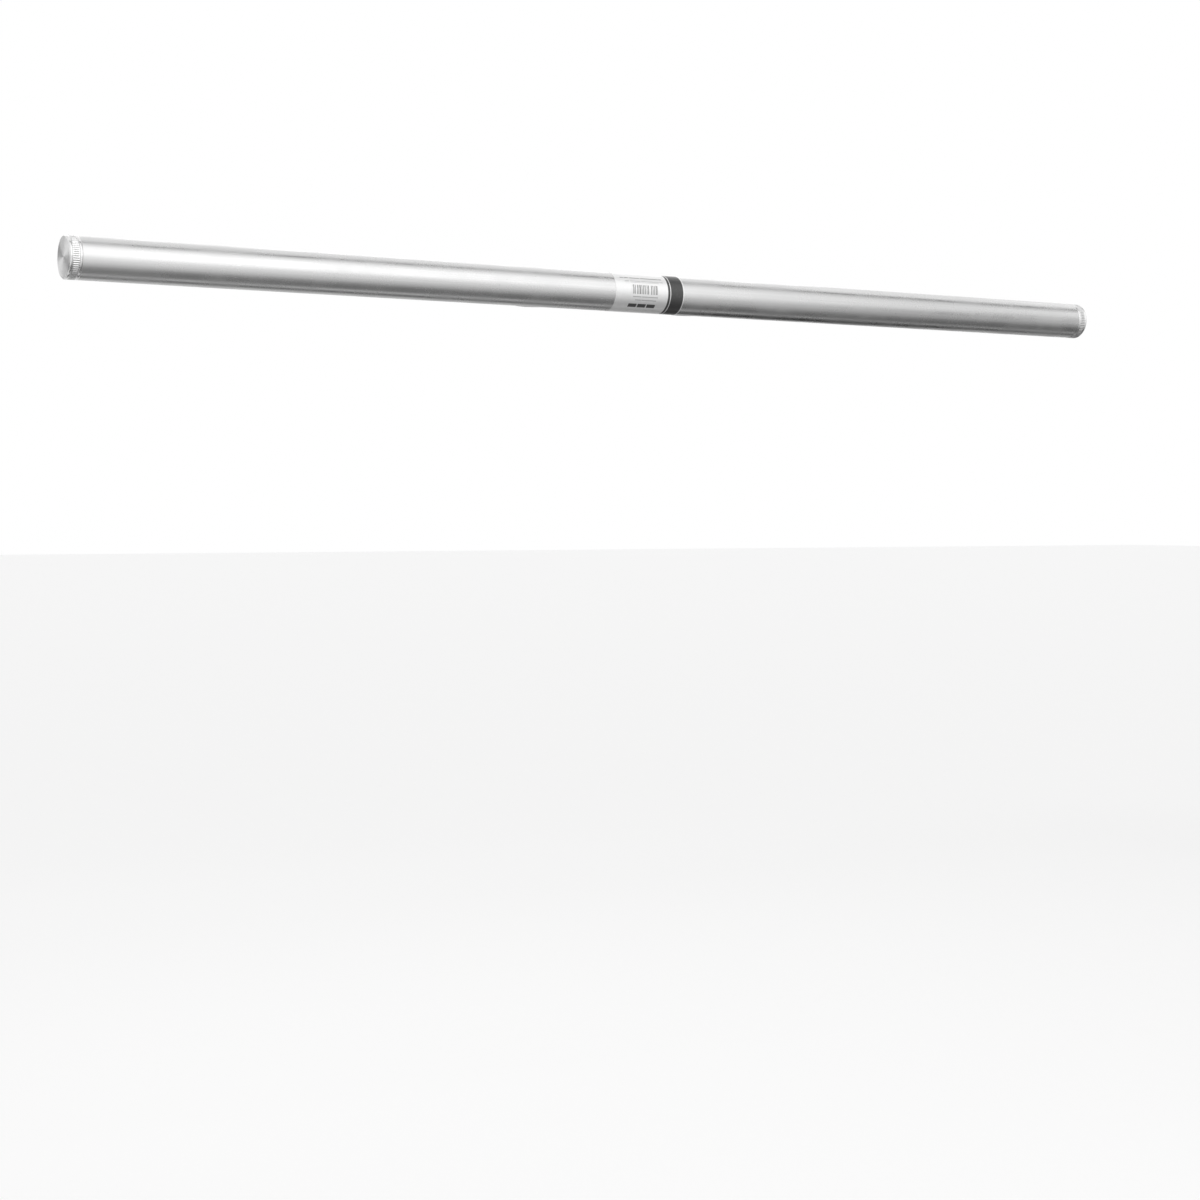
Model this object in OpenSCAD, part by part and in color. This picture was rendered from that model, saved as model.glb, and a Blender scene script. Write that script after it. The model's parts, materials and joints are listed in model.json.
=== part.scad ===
// Hanging pole for a box truss, with two hinged half couplers on its back.
// The pole lies along X with its front facing -Y, and its axis at its middle is the origin.
// The couplers sit behind it, on +Y, with their bores standing along Z.
// At rest the jaws are shut, and the swing bolts hang clear of them.

/* [Pole] */
// Length of the pole over both end caps
pole_len = 1524; // [900:1:3000]
// Outer diameter of the tube
tube_d = 50; // [46:0.5:60]
// Wall thickness of the tube
tube_wall = 3; // [2:0.5:5]

/* [Size label] */
// Width of the label along the pole
label_w = 104; // [60:1:150]
// How far the label wraps round the tube, in degrees
label_wrap = 270; // [180:5:340]
// Thickness of the label's film
label_t = 0.12; // [0.08:0.01:0.3]

/* [End caps] */
// Bevel round the face of each cap
cap_bevel = 1.5; // [0.5:0.1:3]
// Smooth rim next to the face
front_rim = 2.4; // [1:0.1:5]
// Length of the knurled band
knurl_len = 8.6; // [5:0.1:20]
// Smooth rim next to the tube
back_rim = 3; // [1.5:0.1:6]
// Ribs round the knurled band
knurl_ribs = 60; // [36:2:90]
// Depth of the knurl
knurl_depth = 0.6; // [0.3:0.05:1]
// How far the knurl's crests lie under the smooth rims
knurl_drop = 0.15; // [0.05:0.05:0.4]
// How far the cap's rims stand proud of the tube
cap_proud = 0.2; // [0:0.05:1]
// Thickness of the cap's end wall
cap_wall = 5; // [3:0.5:8]
// Length of the screwed plug inside the tube
plug_len = 25; // [20:1:60]
// Wall of the hollow plug
plug_wall = 5.5; // [5:0.5:8]
// Section of the rubber seal on the plug
seal_d = 3; // [2:0.1:3.5]
// Width of land between the cap's shoulder and the seal's groove
seal_land = 3.5; // [2:0.1:6]

/* [Chord clamps] */
// Spacing of the two truss chords that the clamps hold
chord_spacing = 240; // [210:1:400]
// Diameter of a truss chord
chord_d = 50; // [48:0.5:51]
// Width of a clamp along its chord
clamp_w = 30; // [28:1:50]
// Wall of the clamp round its chord
ring_wall = 6; // [5:0.5:9]
// Gap between saddle and jaw when they are shut
split_gap = 1.5; // [0.8:0.1:3]
// Thickness of the saddle between the chord and its flat base
base_t = 12; // [11:0.5:18]
// Width of the saddle's flat base
base_w = 34; // [26:1:40]

/* [Jaw hinge] */
// Diameter of the jaw's hinge pin
hinge_pin_d = 6; // [5:0.5:8]
// Wall of the hinge eyes round the pin
hinge_wall = 3.5; // [3:0.5:5]
// Distance from the clamp's outside to the hinge pin
hinge_reach = 4.5; // [4:0.5:8]
// Width of the jaw's middle hinge eye
knuckle_w = 14; // [10:1:16]

/* [Swing bolt] */
// Diameter of the swing bolt
swing_d = 8; // [7:0.5:10]
// Length of the swing bolt from its pin to its tip
swing_len = 50; // [48:1:70]
// Distance from the clamp's outside to the swing bolt
swing_reach = 9; // [9:0.5:14]
// Depth of the swing bolt's pin below the split
swing_drop = 9; // [9:0.5:14]
// Diameter of the swing bolt's pin
swing_pin_d = 6; // [5:0.5:7]
// How far the swing bolt's eye stands out past its thread, on each side
eye_extra = 0.5; // [0.3:0.1:1]
// Outer radius of the swing bolt's eye and of its ears
eye_r = 7; // [6:0.5:8]
// Width over the ears and over the jaw's fork
fork_w = 26; // [22:1:28]
// Height of the jaw's fork over the swing bolt's pin, at its crown
fork_rise = 21; // [19:0.5:24]
// Height of the fork's underside over the split
fork_under = 3; // [2:0.5:4]
// How far the fork's prongs run past the swing bolt
fork_past = 7.5; // [6:0.5:9]
// How far the swing bolts hang outwards at rest, in degrees
rest_swing = 60; // [55:1:80]

/* [Wing nut and washer] */
// Outer diameter of the washer
washer_d = 16.8; // [15:0.2:18]
// Thickness of the washer
washer_t = 1.6; // [1:0.1:2.5]
// Diameter of the nut's hub at its seat
nut_d = 14; // [12:0.5:16]
// Height of the nut's hub
nut_h = 8; // [7:0.5:10]
// Distance over the tips of the nut's wings
wing_span = 32; // [30:0.5:36]
// Height of the wing tips over the nut's seat
wing_h = 17; // [13:0.5:20]
// Thickness of the wings
wing_t = 3.6; // [2.5:0.1:5]
// Height where the wings leave the hub
wing_foot = 3.5; // [3:0.1:5]

/* [Mounting bolts] */
// Diameter of the bolts that hold the clamps to the pole
bolt_d = 10; // [8:0.5:12]
// Diameter of the bolt's domed head
head_d = 17.5; // [16:0.5:18]
// Height of the bolt's domed head
head_h = 5.5; // [4:0.1:5.8]
// Width across the flats of the socket in the head
socket_w = 6; // [5:0.5:8]
// Depth of the socket in the head
socket_depth = 3.1; // [2:0.1:3.5]
// Thickness of the split washer under the head
lock_t = 2.2; // [1.5:0.1:2.4]
// Width of the split in the split washer
lock_slit = 1.4; // [0.8:0.1:2]
// Depth of the chord's clearance over the head
head_clear = 0.5; // [0.3:0.1:1]
// Least thickness of the shaped spacer
spacer_t = 3; // [2:0.5:8]
// Length of the spacer along the pole
spacer_l = 32; // [26:1:40]
// Height of the spacer across the pole
spacer_h = 28; // [22:1:30]
// Length of the nut block along the pole
block_l = 30; // [20:1:50]
// Height of the nut block across the pole
block_h = 24; // [18:1:28]
// Thickness of the nut block at its middle
block_t = 11; // [9:0.5:13]

/* [Fits] */
// Radial clearance of parts that turn or slide on each other
running = 0.05; // [0.02:0.01:0.1]
// Clearance between parts that are seated and don't move
seat = 0.02; // [0.01:0.01:0.05]
// Clearance between faces that pass each other
side_gap = 0.3; // [0.3:0.05:0.6]
// Clearance of a bolt in a plain hole
bolt_clear = 0.5; // [0.3:0.1:1]
// Roundness of circles
$fn = 96; // [48:8:160]

/* [Hidden] */

LEFT = -1;
RIGHT = 1;

tube_r = tube_d / 2;
bore_r = tube_r - tube_wall;

cap_r = tube_r + cap_proud;
cap_len = cap_bevel + front_rim + knurl_len + back_rim;
tube_end = pole_len / 2 - cap_len;
crest_r = cap_r - knurl_drop;
root_r = crest_r - knurl_depth;
plug_r = bore_r - running;
plug_in_r = plug_r - plug_wall;
groove_r = bore_r - seal_d - 2 * running;
groove_w = seal_d + 2 * side_gap;

chord_r = chord_d / 2;
ring_r = chord_r + ring_wall;
chord_y = tube_r + spacer_t + base_t + chord_r;
base_y = tube_r + spacer_t;

hinge_r = hinge_pin_d / 2;
hinge_eye_r = hinge_r + hinge_wall;
hinge_at = [-(ring_r + hinge_reach), 0];

swing_r = swing_d / 2;
swing_pin_r = swing_pin_d / 2;
swing_at = [ring_r + swing_reach, -swing_drop];
slot_w = swing_d + 4 * side_gap;
eye_w = swing_d + 2 * eye_extra;
eye_slot_w = eye_w + 2 * side_gap;

washer_from = fork_rise + side_gap;
nut_from = washer_from + washer_t + running;
rivet_r = 1.45;
rivet_h = 1;

bolt_r = bolt_d / 2;
head_r = head_d / 2;
recess_r = head_r + 2 * bolt_clear;
recess_y = chord_y - chord_r - head_clear - head_h - lock_t;
head_y = recess_y + lock_t;
block_y = bore_r - block_t;

far = 2 * (chord_r + ring_wall + swing_len);

// Helpers

// Puts a part drawn along +Z on the pole's axis, pointing out of the end on the given side
module pole_end(side) {
    rotate([0, side * 90, 0])
        translate([0, 0, tube_end])
            children();
}

// Puts a part drawn along +Z on the mounting bolt's axis, pointing away from the pole
module bolt_line(side) {
    translate([side * chord_spacing / 2, 0, 0])
        rotate([-90, 0, 0])
            children();
}

// Clamp's own frame: the chord's centre is the origin, +X points outwards along the pole
module clamp(side) {
    translate([side * chord_spacing / 2, chord_y, 0])
        mirror([side == LEFT ? 1 : 0, 0, 0])
            children();
}

// Puts a part drawn along +Z on the swing bolt at rest, with its pin at the origin
module swing(side) {
    clamp(side)
        translate(swing_at)
            rotate([0, 0, -rest_swing])
                rotate([-90, 0, 0])
                    children();
}

// Plate of the given width, centred on Z
module slab(width) {
    translate([0, 0, -width / 2])
        linear_extrude(width)
            children();
}

// Pair of plates that lie between two distances from the middle
module pair_of_slabs(from, to) {
    for (z = [from, -to])
        translate([0, 0, z])
            linear_extrude(to - from)
                children();
}

// Everything above (1) or below (-1) the clamp's split
module beyond_split(direction) {
    translate([-far, direction > 0 ? split_gap / 2 : -split_gap / 2 - far])
        square([2 * far, far]);
}

function unit(angle) = [cos(angle), sin(angle)];

// Outline that blends an eye into the clamp's ring, along their common tangent.
// The tangent touches both circles where their normals point the same way.
function eye_web(at, r, turn) =
    let (
        bearing = atan2(at.y, at.x),
        normal = unit(bearing + turn * acos((ring_r - r) / norm(at)))
    )
    [[0, 0], ring_r * normal, at + r * normal, at + r * unit(bearing - turn * 90)];

// Pole

module pole_tube() {
    color([0.80, 0.81, 0.83])
        difference() {
            rotate([0, 90, 0])
                cylinder(r = tube_r, h = 2 * tube_end, center = true);
            rotate([0, 90, 0])
                cylinder(r = bore_r, h = 2 * tube_end + 2, center = true);
            for (side = [LEFT, RIGHT])
                bolt_line(side)
                    cylinder(r = bolt_r + bolt_clear, h = tube_r + 1);
        }
}

// Film that wraps round the front and leaves a gap at the back
module size_label() {
    inner_r = tube_r + seat;
    color([0.93, 0.93, 0.94])
        rotate([0, 90, 0])
            rotate([0, 0, 270 - label_wrap / 2])
                rotate_extrude(angle = label_wrap)
                    translate([inner_r, -label_w / 2])
                        square([label_t, label_w]);
}

// End caps

// Half section of a turned cap: radius against distance from the tube's end
function cap_section() =
    let (
        face_z = cap_len,
        band_top = back_rim + knurl_len,
        core_r = root_r - side_gap,
        groove_top = -seal_land,
        groove_foot = groove_top - groove_w
    )
    [
        [0, face_z],
        [cap_r - cap_bevel, face_z],
        [cap_r, face_z - cap_bevel],
        [cap_r, band_top],
        [core_r, band_top],
        [core_r, back_rim],
        [cap_r, back_rim],
        [cap_r, 0],
        [plug_r, 0],
        [plug_r, groove_top],
        [groove_r, groove_top],
        [groove_r, groove_foot],
        [plug_r, groove_foot],
        [plug_r, -plug_len],
        [plug_in_r, -plug_len],
        [plug_in_r, face_z - cap_wall],
        [0, face_z - cap_wall]
    ];

// Ribs parallel to the pole, each a flat crest between sloping flanks
module knurl_outline() {
    pitch = 360 / knurl_ribs;
    crest = 0.18 * pitch;
    valley = 0.34 * pitch;
    polygon([
        for (i = [0 : knurl_ribs - 1])
            for (corner = [[-valley, root_r], [-crest, crest_r], [crest, crest_r], [valley, root_r]])
                corner[1] * unit(i * pitch + corner[0])
    ]);
}

module end_cap(side) {
    color([0.74, 0.75, 0.77])
        pole_end(side)
            union() {
                rotate_extrude()
                    polygon(cap_section());
                translate([0, 0, back_rim])
                    linear_extrude(knurl_len)
                        difference() {
                            knurl_outline();
                            circle(r = root_r - 2 * side_gap);
                        }
            }
}

module cap_seal(side) {
    color([0.08, 0.08, 0.08])
        pole_end(side)
            translate([0, 0, -seal_land - groove_w / 2])
                rotate_extrude()
                    translate([groove_r + running + seal_d / 2, 0])
                        circle(d = seal_d, $fn = 32);
}

// Clamp fixings

// Threaded block that lies against the tube's inside
module nut_block(side) {
    color([0.60, 0.61, 0.63])
        difference() {
            intersection() {
                rotate([0, 90, 0])
                    cylinder(r = bore_r - seat, h = pole_len, center = true);
                translate([side * chord_spacing / 2 - block_l / 2, block_y, -block_h / 2])
                    cube([block_l, block_t, block_h]);
            }
            bolt_line(side)
                cylinder(r = bolt_r + seat, h = tube_r);
        }
}

// Block with a flat top for the saddle and a hollow foot for the tube
module spacer(side) {
    color([0.70, 0.71, 0.73])
        difference() {
            translate([side * chord_spacing / 2 - spacer_l / 2, 0, -spacer_h / 2])
                cube([spacer_l, base_y, spacer_h]);
            rotate([0, 90, 0])
                cylinder(r = tube_r + seat, h = pole_len, center = true);
            bolt_line(side)
                cylinder(r = bolt_r + bolt_clear, h = base_y + 1);
        }
}

// Outline of the domed head, a quarter of an ellipse over a short straight edge
function head_section() =
    let (edge = 1.2)
    concat(
        [[0, 0], [head_r, 0]],
        [for (a = [0 : 15 : 60]) [head_r * cos(a), edge + (head_h - edge) * sin(a) / sin(60)]],
        [[0, head_h]]
    );

module mounting_bolt(side) {
    shank = head_y - block_y + 1;
    color([0.52, 0.53, 0.55])
        bolt_line(side)
            translate([0, 0, head_y])
                difference() {
                    union() {
                        rotate_extrude()
                            polygon(head_section());
                        translate([0, 0, -shank])
                            cylinder(r = bolt_r, h = shank + 0.5);
                    }
                    translate([0, 0, head_h - socket_depth])
                        cylinder(r = socket_w / sqrt(3), h = head_h, $fn = 6);
                }
}

module lock_washer(side) {
    color([0.45, 0.46, 0.48])
        bolt_line(side)
            translate([0, 0, recess_y])
                difference() {
                    cylinder(r = head_r, h = lock_t);
                    translate([0, 0, -1])
                        cylinder(r = bolt_r + bolt_clear / 2, h = lock_t + 2);
                    translate([0, -lock_slit / 2, -1])
                        cube([2 * head_r, lock_slit, lock_t + 2]);
                }
}

// Clamps

module saddle_base_outline() {
    foot = base_y - chord_y;
    shoulder = -0.65 * ring_r;
    polygon([
        [-base_w / 2, foot],
        [base_w / 2, foot],
        [0.78 * ring_r, shoulder],
        [-0.78 * ring_r, shoulder]
    ]);
}

module saddle_solid() {
    slab(clamp_w)
        intersection() {
            union() {
                circle(r = ring_r);
                saddle_base_outline();
            }
            beyond_split(-1);
        }
    pair_of_slabs(knuckle_w / 2 + side_gap, clamp_w / 2) {
        intersection() {
            polygon(eye_web(hinge_at, hinge_eye_r, 1));
            beyond_split(-1);
        }
        translate(hinge_at)
            circle(r = hinge_eye_r);
    }
    pair_of_slabs(eye_slot_w / 2, fork_w / 2) {
        polygon(eye_web(swing_at, eye_r, -1));
        translate(swing_at)
            circle(r = eye_r);
    }
}

module saddle(side) {
    color([0.72, 0.73, 0.75])
        difference() {
            clamp(side)
                difference() {
                    saddle_solid();
                    cylinder(r = chord_r, h = 2 * clamp_w, center = true);
                    translate(hinge_at) {
                        cylinder(r = hinge_r + seat, h = 2 * clamp_w, center = true);
                        cylinder(r = hinge_eye_r + side_gap, h = knuckle_w + 2 * side_gap, center = true);
                    }
                    translate(swing_at) {
                        cylinder(r = swing_pin_r + seat, h = 2 * clamp_w, center = true);
                        cylinder(r = eye_r + side_gap, h = eye_slot_w, center = true);
                    }
                }
            bolt_line(side) {
                cylinder(r = bolt_r + bolt_clear, h = chord_y);
                translate([0, 0, recess_y])
                    cylinder(r = recess_r, h = chord_r);
            }
        }
}

// Fork that the swing bolt drops into, crowned about the bolt's pin so that its washer slides off
module fork_outline() {
    inner = chord_r - 2;
    intersection() {
        translate([inner, fork_under])
            square([swing_at.x + fork_past - inner, fork_rise]);
        translate(swing_at)
            circle(r = fork_rise);
    }
}

module jaw_solid() {
    slab(clamp_w)
        intersection() {
            circle(r = ring_r);
            beyond_split(1);
        }
    slab(knuckle_w) {
        intersection() {
            polygon(eye_web(hinge_at, hinge_eye_r, -1));
            beyond_split(1);
        }
        translate(hinge_at)
            circle(r = hinge_eye_r);
    }
    slab(fork_w)
        fork_outline();
}

module jaw(side) {
    ear_room = clamp_w;
    color([0.72, 0.73, 0.75])
        clamp(side)
            difference() {
                jaw_solid();
                cylinder(r = chord_r, h = 2 * clamp_w, center = true);
                translate(hinge_at) {
                    cylinder(r = hinge_r + running, h = 2 * clamp_w, center = true);
                    for (z = [knuckle_w / 2, -knuckle_w / 2 - ear_room])
                        translate([0, 0, z])
                            cylinder(r = hinge_eye_r + side_gap, h = ear_room);
                }
                translate([swing_at.x, 0, 0])
                    rotate([-90, 0, 0])
                        cylinder(r = slot_w / 2, h = far);
                translate([swing_at.x, 0, -slot_w / 2])
                    cube([far, far, slot_w]);
            }
}

// Pin with a rivet head at each end
module riveted_pin(r, length) {
    cylinder(r = r, h = length, center = true);
    for (z = [length / 2, -length / 2 - rivet_h])
        translate([0, 0, z])
            cylinder(r = rivet_r * r, h = rivet_h);
}

module hinge_pin(side) {
    color([0.55, 0.56, 0.58])
        clamp(side)
            translate(hinge_at)
                riveted_pin(hinge_r, clamp_w);
}

module swing_pin(side) {
    color([0.55, 0.56, 0.58])
        clamp(side)
            translate(swing_at)
                riveted_pin(swing_pin_r, fork_w);
}

module swing_bolt(side) {
    tip = 1;
    neck = (eye_r + swing_pin_r) / 2;
    color([0.62, 0.63, 0.65])
        swing(side)
            difference() {
                union() {
                    rotate([90, 0, 0])
                        cylinder(r = eye_r, h = eye_w, center = true);
                    translate([0, 0, neck])
                        cylinder(r = swing_r, h = swing_len - neck - tip);
                    translate([0, 0, swing_len - tip])
                        cylinder(r1 = swing_r, r2 = swing_r - tip, h = tip);
                }
                rotate([90, 0, 0])
                    cylinder(r = swing_pin_r + running, h = 2 * eye_w, center = true);
            }
}

module washer(side) {
    color([0.66, 0.67, 0.69])
        swing(side)
            translate([0, 0, washer_from])
                difference() {
                    cylinder(r = washer_d / 2, h = washer_t);
                    translate([0, 0, -1])
                        cylinder(r = swing_r + 2 * running, h = washer_t + 2);
                }
}

// One wing, drawn in the plane of the bolt: it leans out from the hub to a rounded tip
module wing_outline() {
    tip_r = 0.26 * (wing_h - wing_foot);
    tip = [wing_span / 2 - tip_r, wing_h - tip_r];
    root = nut_d / 4;
    polygon([
        [root, wing_foot],
        [nut_d / 2, wing_foot],
        tip + tip_r * unit(-40),
        tip + tip_r * unit(140),
        [root, nut_h]
    ]);
    translate(tip)
        circle(r = tip_r, $fn = 48);
}

module wing_nut(side) {
    top_r = 0.78 * nut_d / 2;
    color([0.70, 0.71, 0.73])
        swing(side)
            translate([0, 0, nut_from])
                difference() {
                    union() {
                        cylinder(r1 = nut_d / 2, r2 = top_r, h = nut_h);
                        for (turn = [0, 180])
                            rotate([90, 0, turn])
                                slab(wing_t)
                                    wing_outline();
                    }
                    translate([0, 0, -1])
                        cylinder(r = swing_r + running, h = nut_h + wing_h);
                }
}

pole_tube();
size_label();
end_cap(LEFT);  // left_end_cap
end_cap(RIGHT);  // right_end_cap
cap_seal(LEFT);  // left_cap_seal
cap_seal(RIGHT);  // right_cap_seal
nut_block(LEFT);  // left_nut_block
nut_block(RIGHT);  // right_nut_block
spacer(LEFT);  // left_spacer
spacer(RIGHT);  // right_spacer
mounting_bolt(LEFT);  // left_mounting_bolt
mounting_bolt(RIGHT);  // right_mounting_bolt
lock_washer(LEFT);  // left_lock_washer
lock_washer(RIGHT);  // right_lock_washer
saddle(LEFT);  // left_saddle
saddle(RIGHT);  // right_saddle
jaw(LEFT);  // left_jaw
jaw(RIGHT);  // right_jaw
hinge_pin(LEFT);  // left_hinge_pin
hinge_pin(RIGHT);  // right_hinge_pin
swing_bolt(LEFT);  // left_swing_bolt
swing_bolt(RIGHT);  // right_swing_bolt
swing_pin(LEFT);  // left_swing_pin
swing_pin(RIGHT);  // right_swing_pin
washer(LEFT);  // left_washer
washer(RIGHT);  // right_washer
wing_nut(LEFT);  // left_wing_nut
wing_nut(RIGHT);  // right_wing_nut
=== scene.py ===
"""Dresses the hanging pole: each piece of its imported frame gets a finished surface.

Lengths are in metres, in the frame's own axes: X runs along the pole, Y from its front to its
clamps, and Z along the clamps' bores. MM turns a size in millimetres into metres. Every shape is
a function of two parameters, worked out as whole arrays and then placed on its CAD node.
"""
import json
import logging
from collections.abc import Callable, Sequence
from dataclasses import dataclass
from enum import Enum
from functools import cached_property

import bmesh
import bpy
import numpy as np
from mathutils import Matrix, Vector


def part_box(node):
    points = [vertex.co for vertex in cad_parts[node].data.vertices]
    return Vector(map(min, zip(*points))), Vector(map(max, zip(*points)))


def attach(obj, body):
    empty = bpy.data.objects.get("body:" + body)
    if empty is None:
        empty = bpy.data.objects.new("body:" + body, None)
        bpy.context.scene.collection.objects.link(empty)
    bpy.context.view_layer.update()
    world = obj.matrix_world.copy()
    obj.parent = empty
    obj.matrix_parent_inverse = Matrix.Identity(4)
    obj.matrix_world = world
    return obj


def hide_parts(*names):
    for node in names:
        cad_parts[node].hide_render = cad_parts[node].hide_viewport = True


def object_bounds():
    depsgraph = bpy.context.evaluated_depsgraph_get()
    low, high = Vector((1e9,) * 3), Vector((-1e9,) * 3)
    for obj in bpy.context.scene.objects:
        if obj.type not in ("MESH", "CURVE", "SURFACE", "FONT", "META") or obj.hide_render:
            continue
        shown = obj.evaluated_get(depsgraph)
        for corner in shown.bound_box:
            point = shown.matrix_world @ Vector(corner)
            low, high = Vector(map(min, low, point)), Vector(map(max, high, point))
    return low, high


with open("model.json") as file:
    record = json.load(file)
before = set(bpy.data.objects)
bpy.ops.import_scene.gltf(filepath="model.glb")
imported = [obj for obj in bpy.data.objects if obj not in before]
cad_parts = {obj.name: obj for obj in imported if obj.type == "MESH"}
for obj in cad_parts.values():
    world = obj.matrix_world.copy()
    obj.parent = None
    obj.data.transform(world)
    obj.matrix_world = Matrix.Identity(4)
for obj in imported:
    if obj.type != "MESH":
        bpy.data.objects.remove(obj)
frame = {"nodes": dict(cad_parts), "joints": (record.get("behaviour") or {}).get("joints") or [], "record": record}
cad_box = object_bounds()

log = logging.getLogger("hanging_pole")

MM = 0.001
TAU = 2 * np.pi
WELD = 2e-7  # points closer than this are merged
Relief = Callable[[np.ndarray, np.ndarray, np.ndarray], np.ndarray]
Socket = bpy.types.NodeSocket


class Side(Enum):
    """The two ends of the pole, by the sign of their X."""

    LEFT = -1
    RIGHT = 1

    def node(self, name: str) -> str:
        """Name of this side's CAD node."""
        return f"{self.name.lower()}_{name}"


class Slot(Enum):
    """Material slots of the record."""

    TUBE = "tube_aluminium"
    TURNED = "turned_aluminium"
    FORGED = "forged_aluminium"
    PLATED = "plated_steel"
    RUBBER = "seal_rubber"
    FILM = "label_film"


# Places and measures

@dataclass(frozen=True)
class Placement:
    """Where a piece drawn in its own axes lies in the shared frame.

    Args:
        origin: The piece's own origin, in the frame.
        axes: Its X, Y and Z directions, one a row.
    """

    origin: np.ndarray
    axes: np.ndarray

    @classmethod
    def facing(cls, origin: Sequence[float], z: Sequence[float], x: Sequence[float]) -> "Placement":
        """Right-handed placement from its origin, its Z direction and its X direction."""
        return cls(np.array(origin, float), np.array([x, np.cross(z, x), z], float))

    @property
    def mirrored(self) -> bool:
        """True where the axes are left-handed."""
        return bool(np.linalg.det(self.axes) < 0)

    def put(self, points: np.ndarray) -> np.ndarray:
        """The frame's coordinates of points in the piece's own axes."""
        return self.origin + points @ self.axes

    def local(self, points: np.ndarray) -> np.ndarray:
        """The piece's own coordinates of points in the frame."""
        return (points - self.origin) @ self.axes.T


def values(items: bpy.types.bpy_prop_collection, key: str, width: int, kind: type = np.float32) -> np.ndarray:
    """One property of all points or edges of a mesh.

    Args:
        items: The mesh's points or edges.
        key: Name of the property.
        width: Numbers for each item.
        kind: Type of the numbers.

    Returns:
        The property, one item a row.
    """
    flat = np.empty(width * len(items), kind)
    items.foreach_get(key, flat)
    return flat.reshape(-1, width)


def node_points(node: str) -> np.ndarray:
    """The points of a CAD node."""
    return values(frame["nodes"][node].data.vertices, "co", 3).astype(float)


@dataclass(frozen=True)
class Gauge:
    """A CAD node measured along a placement's Z: its two ends, and its radii about that line."""

    low: float
    high: float
    outer: float
    inner: float

    @classmethod
    def read(cls, node: str, place: Placement) -> "Gauge":
        """Measures a CAD node.

        Args:
            node: Name of the CAD node.
            place: Placement whose Z is the line to measure along.

        Returns:
            The node's ends and radii, in metres.
        """
        local = place.local(node_points(node))
        radius = np.hypot(local[:, 0], local[:, 1])
        return cls(local[:, 2].min(), local[:, 2].max(), radius.max(), radius.min())

    def section(self, *radii: float) -> np.ndarray:
        """Section of a ring with rounded corners.

        Args:
            radii: The corners' radii: inner low, outer low, outer high and inner high.

        Returns:
            Rows of radius and height.
        """
        radius = [self.inner, self.outer, self.outer, self.inner]
        height = [self.low, self.low, self.high, self.high]
        return rounded(np.column_stack([radius, height, radii]))


def joint(name: str) -> dict:
    """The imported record's joint of that name."""
    return next(j for j in frame["joints"] if j["name"] == name)


def mount(name: str) -> dict:
    """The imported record's mount of that name."""
    return next(m for m in frame["record"]["mounts"] if m["name"] == name)


POLE_AXIS = Placement.facing((0, 0, 0), (1, 0, 0), (0, 1, 0))


# Shapes

@dataclass(frozen=True)
class Shape:
    """A surface: its points, its four-cornered faces and its flat end faces."""

    points: np.ndarray
    quads: np.ndarray
    ends: tuple[np.ndarray, ...] = ()

    def at(self, place: Placement) -> "Shape":
        """Places the shape, and turns its faces over where the placement mirrors it.

        Args:
            place: Where the shape's own axes lie.

        Returns:
            The shape in the frame.
        """
        step = -1 if place.mirrored else 1
        ends = tuple(end[::step] for end in self.ends)
        return Shape(place.put(self.points), self.quads[:, ::step], ends)


def woven(points: np.ndarray, close_rows: bool = False, close_columns: bool = True) -> Shape:
    """Covers a grid of points with quads.

    Args:
        points: Array of rows, columns and three coordinates.
        close_rows: True to join the last row to the first.
        close_columns: True to join the last column to the first.

    Returns:
        The covered grid. Its faces point out of the turn from columns to rows.
    """
    rows, columns = points.shape[:2]
    index = np.arange(rows * columns).reshape(rows, columns)
    if close_rows:
        index = np.vstack([index, index[:1]])
    if close_columns:
        index = np.hstack([index, index[:, :1]])
    quads = np.stack([index[:-1, :-1], index[:-1, 1:], index[1:, 1:], index[1:, :-1]], axis=-1)
    return Shape(points.reshape(-1, 3), quads.reshape(-1, 4))


def arc(centre: Sequence[float], radius: float, start: float, end: float, step: float = 4) -> np.ndarray:
    """Points of an arc: its centre plus its radius times cosine and sine.

    Args:
        centre: Centre of the arc.
        radius: Its radius.
        start: Angle of its first point, in degrees.
        end: Angle of its last point.
        step: Greatest angle from one point to the next.

    Returns:
        The points, one a row.
    """
    count = max(2, int(np.ceil(abs(end - start) / step)) + 1)
    angle = np.radians(np.linspace(start, end, count))
    return np.array(centre, float) + radius * np.column_stack([np.cos(angle), np.sin(angle)])


def rounded(corners: Sequence[Sequence[float]], closed: bool = True) -> np.ndarray:
    """Rounds the corners of an outline.

    A corner of radius r is cut by the arc that touches both of its sides. The arc's centre lies
    r / sin(half angle) from the corner, and it touches them r / tan(half angle) from it.

    Args:
        corners: Rows of x, y and the corner's radius, where 0 keeps it sharp.
        closed: True if the last corner joins the first.

    Returns:
        Points of the rounded outline, in the same order.
    """
    corners = np.array(corners, float)
    parts = []
    for i, (x, y, radius) in enumerate(corners):
        here = np.array([x, y])
        if radius <= 0 or (not closed and i in (0, len(corners) - 1)):
            parts.append(here[None])
            continue
        sides = np.array([corners[i - 1, :2], corners[(i + 1) % len(corners), :2]]) - here
        sides /= np.linalg.norm(sides, axis=1, keepdims=True)
        half = np.arccos(np.clip(sides[0] @ sides[1], -1, 1)) / 2
        towards = sides.sum(0) / np.linalg.norm(sides.sum(0))
        middle = here + towards * radius / np.sin(half)
        touch = here + sides * radius / np.tan(half) - middle
        start, end = np.degrees(np.arctan2(touch[:, 1], touch[:, 0]))
        turn = (end - start + 180) % 360 - 180
        parts.append(arc(middle, radius, start, start + turn, step=15))
    return np.vstack(parts)


def bearing(at: Sequence[float]) -> float:
    """Angle of a place about the origin, in degrees."""
    return float(np.degrees(np.arctan2(at[1], at[0])))


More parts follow.
